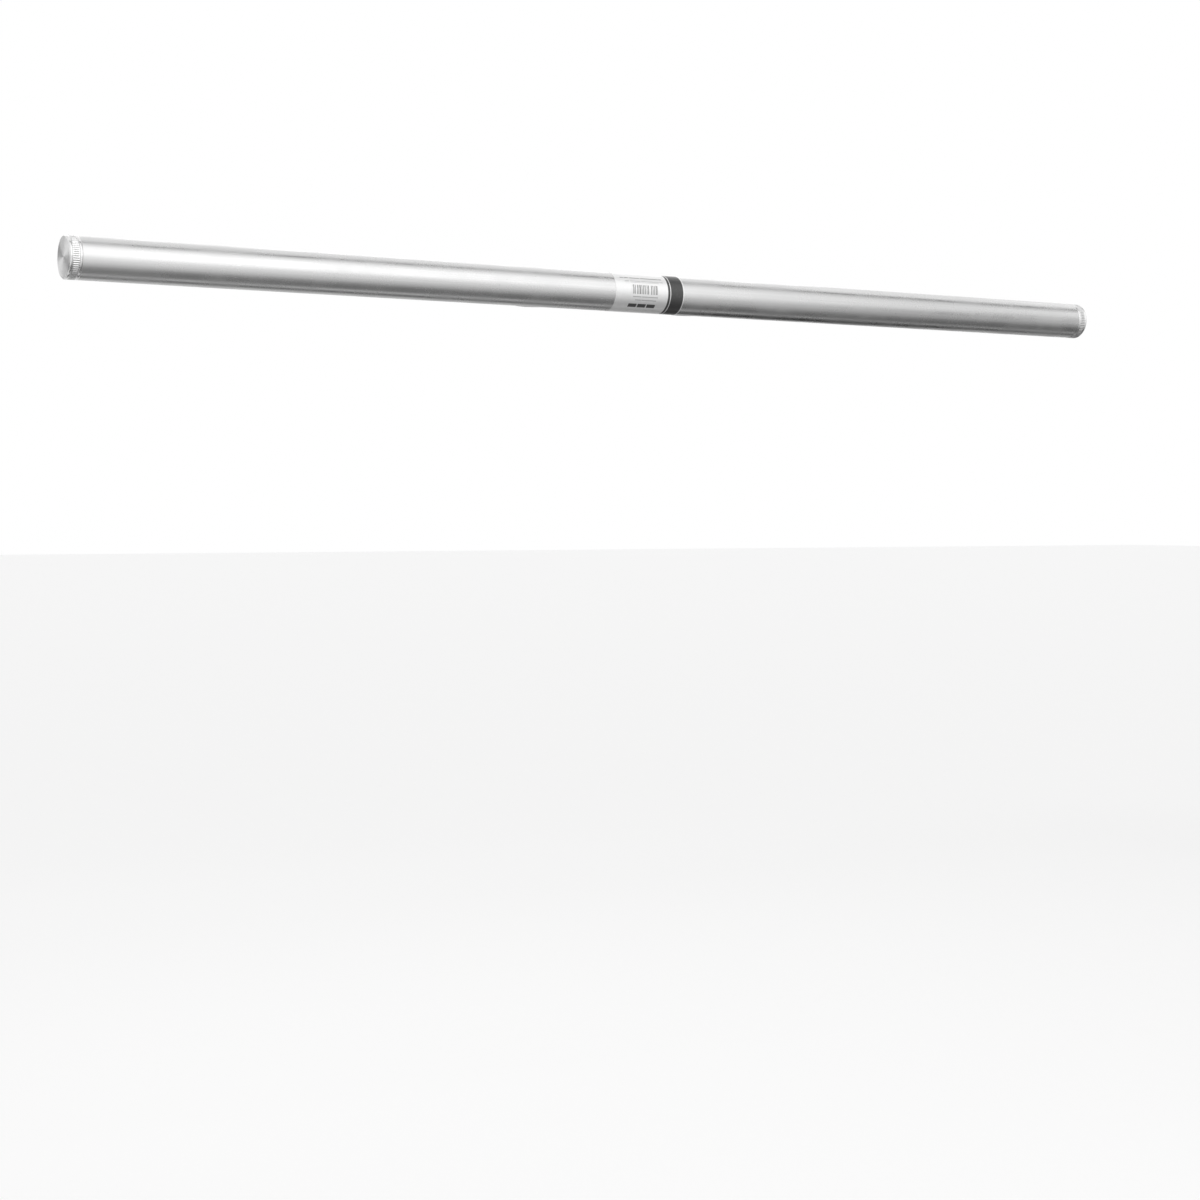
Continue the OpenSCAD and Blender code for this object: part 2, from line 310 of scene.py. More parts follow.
def anticlockwise(outline: np.ndarray) -> np.ndarray:
    """Turns an outline round if its area, half the sum of x y' - x' y, is negative.

    Args:
        outline: Points of a closed outline.

    Returns:
        The outline, anticlockwise.
    """
    x, y = outline.T
    area = np.sum(x * np.roll(y, -1) - np.roll(x, -1) * y)
    return outline if area > 0 else outline[::-1]


def crisp(points: np.ndarray) -> np.ndarray:
    """Points as corners of an outline that stay sharp."""
    return np.column_stack([points, np.zeros(len(points))])


def refined(profile: np.ndarray, low: float, high: float, step: float) -> np.ndarray:
    """Splits the stretches of a profile that lie between two heights into short ones.

    Args:
        profile: Rows of radius and height.
        low: Lower height.
        high: Upper height.
        step: Greatest rise of a stretch.

    Returns:
        The profile with the added points.
    """
    parts = []
    for start, end in zip(profile[:-1], profile[1:]):
        inside = min(start[1], end[1]) > low - WELD and max(start[1], end[1]) < high + WELD
        count = max(1, int(np.ceil(abs(end[1] - start[1]) / step))) if inside else 1
        parts.append(start + (end - start) * (np.arange(count) / count)[:, None])
    return np.vstack([*parts, profile[-1:]])


def turned(*corners: tuple[float, float, float]) -> np.ndarray:
    """Half section of a solid turned piece, from corners in millimetres."""
    return rounded(corners, closed=False) * MM


def dome(radius: float, foot: float, height: float, power: float, count: int) -> np.ndarray:
    """Half section of a dome: a quarter ellipse whose cosine is raised to a power under 1, to fill it."""
    turn = np.linspace(0, np.pi / 2, count)
    return np.column_stack([radius * np.cos(turn) ** power, foot + height * np.sin(turn)])


def faded(height: np.ndarray, low: float, high: float, over: float) -> np.ndarray:
    """1 between two heights, running out to 0 at both over a given length."""
    return np.clip((height - low) / over, 0, 1) * np.clip((high - height) / over, 0, 1)


def lathe(
    profile: np.ndarray, segments: int = 128, reliefs: Sequence[Relief] = (), ring: bool = False
) -> Shape:
    """Turns a profile round the local Z axis.

    Point (i, j) lies at height h_i and angle tau j / segments, at the radius r_i that each relief
    in turn has changed.

    Args:
        profile: Rows of radius and height. A solid piece's profile starts and ends on the axis.
        segments: Number of points round the axis.
        reliefs: Functions of radius, height and angle that return the carved radius.
        ring: True for a closed profile that stays off the axis.

    Returns:
        The turned surface, pointing outwards.
    """
    profile = anticlockwise(profile)
    angle = np.arange(segments)[None, :] * (TAU / segments)
    radius, height = (np.repeat(profile[:, i : i + 1], segments, axis=1) for i in (0, 1))
    for relief in reliefs:
        radius = relief(radius, height, angle)
    points = np.stack([radius * np.cos(angle), radius * np.sin(angle), height], axis=-1)
    return woven(points, close_rows=ring)


def rod(radius: float, low: float, high: float, segments: int = 64) -> Shape:
    """Plain round rod along Z, used as a cutter for a bore."""
    return lathe(np.array([[0, low], [radius, low], [radius, high], [0, high]]), segments)


def extruded(outline: np.ndarray, low: float, high: float) -> Shape:
    """Carries a flat outline straight along Z.

    Args:
        outline: Points of a closed outline.
        low: Height of its lower end.
        high: Height of its upper end.

    Returns:
        The closed solid.
    """
    outline = anticlockwise(outline)
    count = len(outline)
    points = np.stack([np.column_stack([outline, np.full(count, z)]) for z in (low, high)])
    side = woven(points)
    order = np.arange(count)
    return Shape(side.points, side.quads, (order[::-1], order + count))


@dataclass(frozen=True)
class Groove:
    """Grooves cut into a turned piece. Their depth is a clipped triangle wave that runs out at both ends.

    Args:
        low: Height where they start.
        high: Height where they end.
        depth: Depth from crest to root.
        outside: Only points beyond this radius are cut.
    """

    low: float
    high: float
    depth: float
    outside: float

    def cut(
        self, radius: np.ndarray, height: np.ndarray, phase: np.ndarray, form: Sequence[float]
    ) -> np.ndarray:
        """Cuts the grooves.

        Args:
            radius: Radius of each point.
            height: Height of each point.
            phase: Number of grooves passed at each point.
            form: The wave's gain, what it is lowered by, and the length it runs out over.

        Returns:
            The new radius of each point.
        """
        gain, drop, over = form
        wave = np.clip(gain * (1 - np.abs(2 * (phase % 1.0) - 1)) - drop, 0, 1)
        depth = self.depth * wave * faded(height, self.low, self.high, over)
        return np.where(radius > self.outside, radius - depth, radius)


@dataclass(frozen=True)
class Thread(Groove):
    """Right-hand thread of a given pitch, which is its rise in one turn."""

    pitch: float

    def __call__(self, radius: np.ndarray, height: np.ndarray, angle: np.ndarray) -> np.ndarray:
        """The phase is height / pitch - angle / tau."""
        return self.cut(radius, height, height / self.pitch - angle / TAU, (1.35, 0.175, self.pitch))


@dataclass(frozen=True)
class Knurl(Groove):
    """Straight knurl: a number of ribs along the axis."""

    ribs: int

    def __call__(self, radius: np.ndarray, height: np.ndarray, angle: np.ndarray) -> np.ndarray:
        """The phase is the angle's share of a turn times the number of ribs."""
        return self.cut(radius, height, angle * self.ribs / TAU, (1.8, 0.75, 0.5 * MM))


# Bench work

def mark_wear(mesh: bpy.types.Mesh) -> None:
    """Writes the attribute wear, from 0 on flat skin to 1 on a proud edge.

    Each edge gives both of its points the slope at which it falls below their tangent planes. A
    point's wear is its mean slope times a gain.

    Args:
        mesh: A finely divided mesh.
    """
    gain, count = 5.0, len(mesh.vertices)
    points, normals = values(mesh.vertices, "co", 3), values(mesh.vertices, "normal", 3)
    ends = values(mesh.edges, "vertices", 2, np.int32)
    step = points[ends[:, 1]] - points[ends[:, 0]]
    step /= np.linalg.norm(step, axis=1, keepdims=True) + 1e-12
    fall = [-np.sum(normals[ends[:, 0]] * step, axis=1), np.sum(normals[ends[:, 1]] * step, axis=1)]
    total = sum(np.bincount(ends[:, i], fall[i], count) for i in (0, 1))
    number = sum(np.bincount(ends[:, i], minlength=count) for i in (0, 1))
    wear = np.clip(gain * total / np.maximum(number, 1), 0, 1).astype(np.float32)
    mesh.attributes.new("wear", "FLOAT", "POINT").data.foreach_set("value", wear)


def mesh_object(name: str, shape: Shape) -> bpy.types.Object:
    """Makes a mesh object of a shape, with its seams and poles welded.

    Args:
        name: Name of the object.
        shape: Its surface.

    Returns:
        The object, linked to the scene.
    """
    mesh = bpy.data.meshes.new(name)
    faces = [*shape.quads.tolist(), *(end.tolist() for end in shape.ends)]
    mesh.from_pydata(shape.points.tolist(), [], faces)
    work = bmesh.new()
    work.from_mesh(mesh)
    bmesh.ops.remove_doubles(work, verts=work.verts, dist=WELD)
    work.to_mesh(mesh)
    work.free()
    made = bpy.data.objects.new(name, mesh)
    bpy.context.scene.collection.objects.link(made)
    return made


class Workpiece:
    """A solid on the bench: it is cut, joined and rounded, and then finished as one mesh."""

    def __init__(self, name: str, shape: Shape, place: Placement) -> None:
        """Puts the blank on the bench.

        Args:
            name: Name of the finished piece.
            shape: The blank that it is made from.
            place: Placement of the blank, and of tools that come without one.
        """
        self.place = place
        self.body = mesh_object(name, shape.at(place))
        self.tools: list[bpy.types.Object] = []

    def _combine(self, operation: str, shapes: Sequence[Shape], place: Placement | None) -> "Workpiece":
        """Adds one exact boolean step for each shape.

        Args:
            operation: Kind of boolean.
            shapes: The tools.
            place: Where they lie, or None for the blank's place.

        Returns:
            This workpiece.
        """
        for shape in shapes:
            tool = mesh_object(f"{self.body.name}_tool", shape.at(place or self.place))
            step = self.body.modifiers.new(operation.lower(), "BOOLEAN")
            step.operation, step.object, step.solver = operation, tool, "EXACT"
            self.tools.append(tool)
        return self

    def cut(self, *shapes: Shape, place: Placement | None = None) -> "Workpiece":
        """Takes the shapes away."""
        return self._combine("DIFFERENCE", shapes, place)

    def add(self, *shapes: Shape, place: Placement | None = None) -> "Workpiece":
        """Joins the shapes on."""
        return self._combine("UNION", shapes, place)

    def round_edges(self, width: float) -> "Workpiece":
        """Rounds the edges sharper than 35 degrees.

        Args:
            width: Width of the rounding.

        Returns:
            This workpiece.
        """
        step = self.body.modifiers.new("edges", "BEVEL")
        step.width, step.segments = width, 3
        step.limit_method, step.angle_limit = "ANGLE", np.radians(35)
        return self

    def forge(self, voxel: float, passes: int) -> "Workpiece":
        """Melts what was joined so far into one skin with soft inner corners.

        Args:
            voxel: Size of the skin's cells.
            passes: Number of times it is smoothed.

        Returns:
            This workpiece.
        """
        step = self.body.modifiers.new("skin", "REMESH")
        step.mode, step.voxel_size = "VOXEL", voxel
        smooth = self.body.modifiers.new("soften", "SMOOTH")
        smooth.factor, smooth.iterations = 0.5, passes
        return self

    def done(self) -> bpy.types.Object:
        """Turns the steps into the piece's own mesh and clears the tools away.

        Returns:
            The finished object.
        """
        bpy.context.view_layer.update()
        graph = bpy.context.evaluated_depsgraph_get()
        baked = bpy.data.meshes.new_from_object(self.body.evaluated_get(graph))
        self.body.modifiers.clear()
        self.body.data = baked
        for tool in self.tools:
            bpy.data.objects.remove(tool)
        return self.body


@dataclass(frozen=True)
class Coat:
    """A finish: a slot of the record, and the material that is made for it."""

    slot: Slot
    material: bpy.types.Material


def finish(
    piece: bpy.types.Object, body: str, node: str, coat: Coat, sharp: float = 35, flat: bool = False
) -> None:
    """Shades and dresses a piece, attaches it to its body and hides its CAD node.

    Args:
        piece: The finished mesh.
        body: CAD body that it rides on.
        node: CAD node that it stands for.
        coat: Its finish.
        sharp: Edges sharper than this, in degrees, stay crisp.
        flat: True for a piece with flat faces, whose shading keeps them flat.
    """
    mesh = piece.data
    mesh.materials.clear()
    mesh.materials.append(coat.material)
    mesh.polygons.foreach_set("material_index", np.zeros(len(mesh.polygons), np.int32))
    mesh.polygons.foreach_set("use_smooth", np.ones(len(mesh.polygons), bool))
    mesh.set_sharp_from_angle(angle=np.radians(sharp))
    if flat:
        even = piece.modifiers.new("even", "WEIGHTED_NORMAL")
        even.keep_sharp = True
    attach(piece, body)
    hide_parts(node)
    log.info("%s on %s: %d faces", piece.name, body, len(mesh.polygons))


# Finishes

class Wiring:
    """Adds nodes to the node tree of a new material or world."""

    def __init__(self, owner: bpy.types.Material | bpy.types.World) -> None:
        """Opens the node tree of its owner."""
        owner.use_nodes = True
        self.tree = owner.node_tree

    def node(self, kind: str, inputs: dict | None = None, **settings: object) -> bpy.types.Node:
        """Adds a node.

        Args:
            kind: Type of the node, without its prefix.
            inputs: Values or sockets for its inputs, by name or number.
            settings: Its own properties.

        Returns:
            The new node.
        """
        made = self.tree.nodes.new(f"ShaderNode{kind}")
        for key, value in settings.items():
            setattr(made, key, value)
        for key, value in (inputs or {}).items():
            if isinstance(value, Socket):
                self.tree.links.new(value, made.inputs[key])
            else:
                made.inputs[key].default_value = value
        return made

    def seen(self) -> Socket:
        """Tells rays from the camera, off gloss or through glass from all others.

        Returns:
            1 for those rays and 0 for others.
        """
        rays = self.node("LightPath").outputs
        total = rays["Is Camera Ray"]
        for name in ("Is Glossy Ray", "Is Transmission Ray"):
            total = self.node("Math", {0: total, 1: rays[name]}, operation="ADD", use_clamp=True).outputs[0]
        return total


class Recipe(Wiring):
    """Wires one node material."""

    def __init__(self, name: str, **constants: float | tuple[float, ...]) -> None:
        """Makes the material.

        Args:
            name: Name of the material.
            constants: Values for the shader's own sockets, by name.
        """
        self.material = bpy.data.materials.new(name)
        super().__init__(self.material)
        self.shader = self.tree.nodes["Principled BSDF"]
        for key, value in constants.items():
            self.shader.inputs[key.replace("_", " ")].default_value = value

    @cached_property
    def place(self) -> Socket:
        """The piece's own coordinates."""
        return self.node("TexCoord").outputs["Object"]

    def link(self, name: str, value: Socket) -> None:
        """Feeds a socket of the shader."""
        self.tree.links.new(value, self.shader.inputs[name])

    def math(self, operation: str, *numbers: Socket | float) -> Socket:
        """Arithmetic on up to three values."""
        return self.node("Math", dict(enumerate(numbers)), operation=operation).outputs[0]

    def times(self, a: Socket | float, b: Socket | float) -> Socket:
        """One value times another."""
        return self.math("MULTIPLY", a, b)

    def stretched(self, scale: tuple[float, float, float], source: Socket | None = None) -> Socket:
        """Coordinates multiplied by a number for each axis."""
        inputs = {0: source or self.place, 1: scale}
        return self.node("VectorMath", inputs, operation="MULTIPLY").outputs[0]

    def noise(self, vector: Socket, scale: float, detail: float = 3.0, rough: float = 0.5) -> Socket:
        """Cloudy noise from 0 to 1."""
        inputs = {"Vector": vector, "Scale": scale, "Detail": detail, "Roughness": rough}
        return self.node("TexNoise", inputs).outputs[0]

    def fit(self, value: Socket, low: float, high: float, start: float = 0.0, end: float = 1.0) -> Socket:
        """Maps low and high to start and end with soft ends, and clips what lies outside."""
        inputs = {0: value, 1: low, 2: high, 3: start, 4: end}
        return self.node("MapRange", inputs, interpolation_type="SMOOTHSTEP").outputs[0]

    def between(self, value: Socket, low: float, high: float, soft: float) -> Socket:
        """Picks out a band of values.

        Args:
            value: The value.
            low: Its lower limit.
            high: Its upper limit.
            soft: Half the width of each edge.

        Returns:
            1 between the limits, falling to 0 over the soft edges.
        """
        rise = self.fit(value, low - soft, low + soft)
        fall = self.fit(value, high - soft, high + soft, 1.0, 0.0)
        return self.times(rise, fall)

    def mix(self, share: Socket | float, a: Socket | float, b: Socket | float) -> Socket:
        """Greys or colours mixed by a share."""
        inputs = {0: share, 6: grey(a), 7: grey(b)}
        return self.node("Mix", inputs, data_type="RGBA").outputs[2]

    def bump(self, height: Socket, distance: float, strength: float, *under: Socket) -> Socket:
        """Normal raised by a height, on top of another bump where one is given."""
        inputs = {"Height": height, "Distance": distance, "Strength": strength}
        return self.node("Bump", {**inputs, **{"Normal": normal for normal in under}}).outputs[0]

    def radius(self) -> Socket:
        """Distance from the pole's axis."""
        _, y, z = self.node("SeparateXYZ", {0: self.place}).outputs
        return self.math("SQRT", self.math("MULTIPLY_ADD", y, y, self.math("POWER", z, 2.0)))


def grey(value: Socket | float | tuple) -> Socket | tuple:
    """A neutral colour from one number. Sockets and colours pass through."""
    return (value, value, value, 1.0) if isinstance(value, (int, float)) else value


@dataclass(frozen=True)
class DrawnAluminium:
    """Extruded tube: satin, with draw lines along X, handling marks and a few fine scratches."""

    shade: float = 0.73
    roughness: float = 0.24
    anisotropy: float = 0.45

    def material(self) -> bpy.types.Material:
        """Builds the material.

        Returns:
            The material with its nodes.
        """
        r = Recipe("drawn_aluminium", Metallic=1.0, Anisotropic=self.anisotropy)
        lines = r.noise(r.stretched((5, 1500, 1500)), 1.0, 4.0, 0.62)
        broad = r.noise(r.stretched((1.2, 160, 160)), 1.0, 3.0)
        smudge = r.noise(r.place, 16.0, 4.0, 0.6)
        wear = r.noise(r.stretched((22, 60, 60)), 1.0, 5.0, 0.7)
        scratch = self._scratches(r)
        speck = self._specks(r)
        tone = r.math("MULTIPLY_ADD", lines, 0.5, r.times(broad, 0.5))
        colour = r.mix(r.fit(tone, 0.32, 0.68), self.shade * 0.93, self.shade * 1.04)
        colour = r.mix(r.times(scratch, 0.35), colour, self.shade * 1.2)
        colour = r.mix(r.times(speck, 0.5), colour, self.shade * 0.6)
        r.link("Base Color", colour)
        matt = r.fit(smudge, 0.35, 0.7, self.roughness - 0.03, self.roughness + 0.06)
        matt = r.math("MULTIPLY_ADD", r.fit(wear, 0.5, 0.72), 0.07, matt)
        r.link("Roughness", r.math("MULTIPLY_ADD", lines, 0.05, matt))
        normal = r.bump(lines, 0.012 * MM, 0.6)
        normal = r.bump(broad, 0.05 * MM, 0.5, normal)
        r.link("Normal", r.bump(scratch, -0.03 * MM, 0.8, normal))
        r.link("Tangent", r.node("Tangent", direction_type="RADIAL", axis="X").outputs[0])
        return r.material

    @staticmethod
    def _scratches(r: Recipe) -> Socket:
        """Thin bright lines: a narrow band of a stretched noise, kept only in some patches.

        Args:
            r: The recipe.

        Returns:
            1 on a scratch.
        """
        turned = r.node("VectorRotate", {"Vector": r.place, "Angle": 0.11}, rotation_type="Y_AXIS").outputs[0]
        field = r.noise(r.stretched((9, 70, 120), turned), 1.0, 1.0)
        line = r.between(field, 0.497, 0.503, 0.003)
        patch = r.fit(r.noise(r.place, 31.0, 2.0), 0.6, 0.66)
        return r.times(line, patch)

    @staticmethod
    def _specks(r: Recipe) -> Socket:
        """Small pits: the middles of a few cells.

        Args:
            r: The recipe.

        Returns:
            1 on a pit.
        """
        cells = r.node("TexVoronoi", {"Vector": r.place, "Scale": 95.0})
        dot = r.fit(cells.outputs["Distance"], 0.05, 0.09, 1.0, 0.0)
        chosen = r.node("SeparateColor", {0: cells.outputs["Color"]}).outputs[0]
        return r.times(dot, r.fit(chosen, 0.9, 0.91))


@dataclass(frozen=True)
class TurnedAluminium:
    """Lathe-turned end cap: fine rings round the pole's axis, with a mottled painted shade low in the knurl and
    its grooves.

    Its flat faces, close to each end of the pole, keep coarser tool marks than its bands.
    """

    end: float
    shade: float = 0.86
    roughness: float = 0.19
    face_roughness: float = 0.42
    face_depth: float = 0.7 * MM
    # Radii between which the knurl's painted shade runs from full to none.
    valley: float = 24.45 * MM
    crest: float = 24.8 * MM

    def material(self) -> bpy.types.Material:
        """Builds the material. The rings are a noise of the radius and the place along the axis.

        Returns:
            The material with its nodes.
        """
        r = Recipe("turned_aluminium", Metallic=1.0, Anisotropic=0.86, Anisotropic_Rotation=0.25)
        along = r.node("SeparateXYZ", {0: r.place}).outputs[0]
        radius = r.radius()
        tool = r.node("CombineXYZ", {0: radius, 1: along}).outputs[0]
        rings = r.noise(r.stretched((2600, 2600, 1), tool), 1.0, 4.0, 0.6)
        passes = r.noise(r.stretched((420, 420, 1), tool), 1.0, 2.0)
        nicks = r.fit(r.noise(r.place, 700.0, 2.0), 0.68, 0.76)
        # Painted shade: the knurl's valleys and the grooves beside it are darkened by their radius, mottled by
        # this noise.
        shade_and_grime_mottle = r.noise(r.place, 240.0, 3.0)
        depth = r.fit(radius, self.valley, self.crest)
        colour = r.mix(r.fit(rings, 0.3, 0.7), self.shade * 0.9, self.shade * 1.05)
        valley_shade_and_grime = r.mix(r.fit(shade_and_grime_mottle, 0.3, 0.7), self.shade * 0.48, self.shade * 0.66)
        beyond = r.fit(radius, self.valley - 0.4 * MM, self.valley - 0.1 * MM)
        valley_shade_mask = r.times(beyond, r.math("SUBTRACT", 1.0, depth))
        # Mixes the painted shade into the turned colour.
        colour = r.mix(r.times(valley_shade_mask, 0.35), colour, valley_shade_and_grime)
        r.link("Base Color", r.mix(r.times(nicks, 0.35), colour, self.shade * 0.6))
        inset = self.end - self.face_depth
        face = r.fit(r.math("ABSOLUTE", along), inset - 0.1 * MM, inset, self.roughness, self.face_roughness)
        r.link("Roughness", r.math("MULTIPLY_ADD", passes, 0.1, face))
        normal = r.bump(passes, 0.02 * MM, 0.6)
        normal = r.bump(rings, 0.008 * MM, 0.7, normal)
        r.link("Normal", r.bump(nicks, -0.05 * MM, 0.8, normal))
        r.link("Tangent", r.node("Tangent", direction_type="RADIAL", axis="X").outputs[0])
        return r.material


@dataclass(frozen=True)
class ForgedAluminium:
    """Forged and tumbled aluminium: a matt peened skin that is rubbed bright on its edges."""

    shade: float = 0.58
    worn_shade: float = 0.74
    roughness: float = 0.47
    worn_roughness: float = 0.30

    def material(self) -> bpy.types.Material:
        """Builds the material. The piece's attribute wear picks out its edges.

        Returns:
            The material with its nodes.
        """
        r = Recipe("forged_aluminium", Metallic=1.0)
        peen = r.noise(r.place, 1500.0, 4.0, 0.6)
        swell = r.noise(r.place, 210.0, 3.0, 0.55)
        stain = r.noise(r.place, 45.0, 4.0, 0.6)
        rub = r.noise(r.place, 380.0, 3.0, 0.6)
        edge = r.node("Attribute", attribute_name="wear").outputs["Fac"]
        worn = r.fit(r.math("MULTIPLY_ADD", rub, 0.5, edge), 0.45, 0.85)
        colour = r.mix(r.fit(stain, 0.3, 0.7), self.shade * 0.88, self.shade * 1.06)
        colour = r.mix(r.fit(peen, 0.55, 0.75, 0.0, 0.45), colour, self.shade * 0.8)
        r.link("Base Color", r.mix(worn, colour, self.worn_shade))
        matt = r.fit(swell, 0.3, 0.7, self.roughness - 0.06, self.roughness + 0.06)
        drop = self.worn_roughness - self.roughness
        r.link("Roughness", r.math("MULTIPLY_ADD", worn, drop, matt))
        normal = r.bump(swell, 0.22 * MM, 0.5)
        r.link("Normal", r.bump(peen, 0.05 * MM, 0.7, normal))
        return r.material


@dataclass(frozen=True)
class ZincPlate:
    """Bright zinc plate: cool and even, with faint spangle and dulled patches."""

    name: str = "zinc_plate"
    shade: float = 0.62
    roughness: float = 0.30

    def material(self) -> bpy.types.Material:
        """Builds the material.

        Returns:
            The material with its nodes.
        """
        r = Recipe(self.name, Metallic=1.0)
        spangle = r.node("TexVoronoi", {"Vector": r.place, "Scale": 620.0})
        tint = r.node("SeparateColor", {0: spangle.outputs["Color"]}).outputs[0]
        dull = r.noise(r.place, 130.0, 4.0, 0.65)
        grain = r.noise(r.place, 2600.0, 3.0)
        cool = (self.shade * 0.97, self.shade, self.shade * 1.03, 1.0)
        colour = r.mix(r.times(tint, 0.25), cool, self.shade * 0.84)
        r.link("Base Color", r.mix(r.fit(dull, 0.5, 0.8, 0.0, 0.6), colour, self.shade * 0.72))
        rough = r.fit(dull, 0.35, 0.75, self.roughness - 0.06, self.roughness + 0.12)
        r.link("Roughness", r.math("MULTIPLY_ADD", tint, 0.05, rough))
        r.link("Normal", r.bump(grain, 0.015 * MM, 0.6))
        return r.material


@dataclass(frozen=True)
class SealRubber:
    """Moulded black rubber with a greased, slightly dusty skin."""

    shade: float = 0.018

    def material(self) -> bpy.types.Material:
        """Builds the material.

        Returns:
            The material with its nodes.
        """
        r = Recipe("seal_rubber")
        dust = r.noise(r.place, 900.0, 4.0, 0.7)
        r.link("Base Color", r.mix(r.fit(dust, 0.5, 0.8), self.shade, self.shade * 3))
        r.link("Roughness", r.fit(dust, 0.3, 0.7, 0.34, 0.56))
        r.link("Normal", r.bump(dust, 0.02 * MM, 0.5))
        return r.material


@dataclass(frozen=True)
class PrintedFilm:
    """Silver-white label film with a plain black band, grey rules and a block of bars.

    Places on it are across, along the pole from the label's middle, and up, round the tube from
    its front. Those of the block and the rules are in millimetres: left, right, bottom and top.

    Args:
        radius: Radius of the film's face.
        film: Grey of the film.
        ink: Grey of the rules.
        grey_ink: Grey of the block's bars.
        band_ink: Grey of the band.
        unworn: Rules at least this dark keep all their ink.
        band: Both ends of the band, across.
        hairline: Both ends of the fine line in it.
        block: The block's place.
        rules: The rules' places, and how dark each is.
    """

    radius: float
    film: float = 0.92
    ink: float = 0.035
    grey_ink: float = 0.15
    band_ink: float = 0.075
    unworn: float = 0.9
    band: tuple[float, float] = (27.2 * MM, 50.6 * MM)
    hairline: tuple[float, float] = (30.6 * MM, 31.7 * MM)
    block: tuple[float, float, float, float] = (-29, 12, -3.5, 8.5)
    rules: tuple[tuple[float, float, float, float, float], ...] = (
        (-43, 20, 18.4, 19.6, 0.75),
        (-38, 21, 13.4, 14.3, 0.45),
        (-38, 14, 11.6, 12.3, 0.35),
        (-26, 12, -7.8, -6.6, 0.45),
        (-22, 10, -12.2, -11.0, 0.45),
        (-30, -17.5, -22.8, -17.0, 0.92),
        (-16, -3.5, -22.8, -17.0, 0.92),
        (-2, 10.5, -22.8, -17.0, 0.92),
    )

    def material(self) -> bpy.types.Material:
        """Builds the material. Up is the radius times the angle round the pole's axis.

        Returns:
            The material with its nodes.
        """
        r = Recipe("printed_film", Metallic=0.6, Coat_Weight=0.25, Coat_Roughness=0.2)
        across, y, z = r.node("SeparateXYZ", {0: r.place}).outputs
        up = r.times(r.math("ARCTAN2", z, r.times(y, -1.0)), self.radius)
        mottle = r.noise(r.place, 300.0, 3.0)
        colour = r.mix(r.fit(mottle, 0.3, 0.7), self.film * 0.97, self.film)
        worn = r.fit(r.noise(r.stretched((420, 1, 1)), 1.0, 2.0), 0.34, 0.42)
        for *edges, dark in self.rules:
            mark = self._patch(r, across, up, edges)
            mark = r.times(mark, worn) if dark < self.unworn else mark
            colour = r.mix(r.times(mark, dark), colour, self.ink)
        lines = r.fit(r.noise(r.stretched((900, 0, 0)), 1.0, 0.0), 0.49, 0.53)
        bars = r.times(self._patch(r, across, up, self.block), lines)
        colour = r.mix(bars, colour, self.grey_ink)
        band = r.between(across, *self.band, 0.15 * MM)
        hair = r.between(across, *self.hairline, 0.12 * MM)
        black = r.times(band, r.math("SUBTRACT", 1.0, hair))
        scuff = r.fit(r.noise(r.place, 420.0, 4.0, 0.7), 0.5, 0.75, 0.0, 0.5)
        r.link("Base Color", r.mix(black, colour, r.mix(scuff, self.band_ink, self.band_ink * 2)))
        r.link("Roughness", r.fit(mottle, 0.3, 0.7, 0.38, 0.46))
        r.link("Normal", r.bump(r.noise(r.place, 120.0, 2.0), 0.08 * MM, 0.35))
        return r.material

    @staticmethod
    def _patch(r: Recipe, across: Socket, up: Socket, edges: Sequence[float]) -> Socket:
        """Picks out a rectangle on the film.

        Args:
            r: The recipe.
            across: Place along the pole.
            up: Place round it.
            edges: Its left, right, bottom and top, in millimetres.

        Returns:
            1 inside the rectangle.
        """
        left, right, bottom, top = (edge * MM for edge in edges)
        soft = 0.12 * MM
        return r.times(r.between(across, left, right, soft), r.between(up, bottom, top, soft))


@dataclass(frozen=True)
class Finishes:
    """The finishes that the sub-assemblies share."""

    tube: Coat
    turned: Coat
    forged: Coat
    plated: Coat
    dark_plated: Coat
    rubber: Coat

    @classmethod
    def mixed(cls) -> "Finishes":
        """Builds one of each.

        Returns:
            The finishes.
        """
        return cls(
            tube=Coat(Slot.TUBE, DrawnAluminium().material()),
            turned=Coat(Slot.TURNED, TurnedAluminium(cad_box[1][0]).material()),
            forged=Coat(Slot.FORGED, ForgedAluminium().material()),
            plated=Coat(Slot.PLATED, ZincPlate().material()),
            dark_plated=Coat(Slot.PLATED, ZincPlate("dark_zinc_plate", 0.46, 0.36).material()),
            rubber=Coat(Slot.RUBBER, SealRubber().material()),
        )


# Sub-assemblies

@dataclass(frozen=True)
class Assembly:
    """A sub-assembly at one end of the pole, and the finishes that it is dressed in."""

    side: Side
    finishes: Finishes

    def hand_in_forging(self, work: Workpiece, body: str, node: str) -> None:
        """Bakes a forging, marks its wear and finishes it.

        Args:
            work: The forging.
            body: CAD body that it rides on.
            node: CAD node that it stands for.
        """
        piece = work.done()
        mark_wear(piece.data)
        finish(piece, body, node, self.finishes.forged, sharp=62)


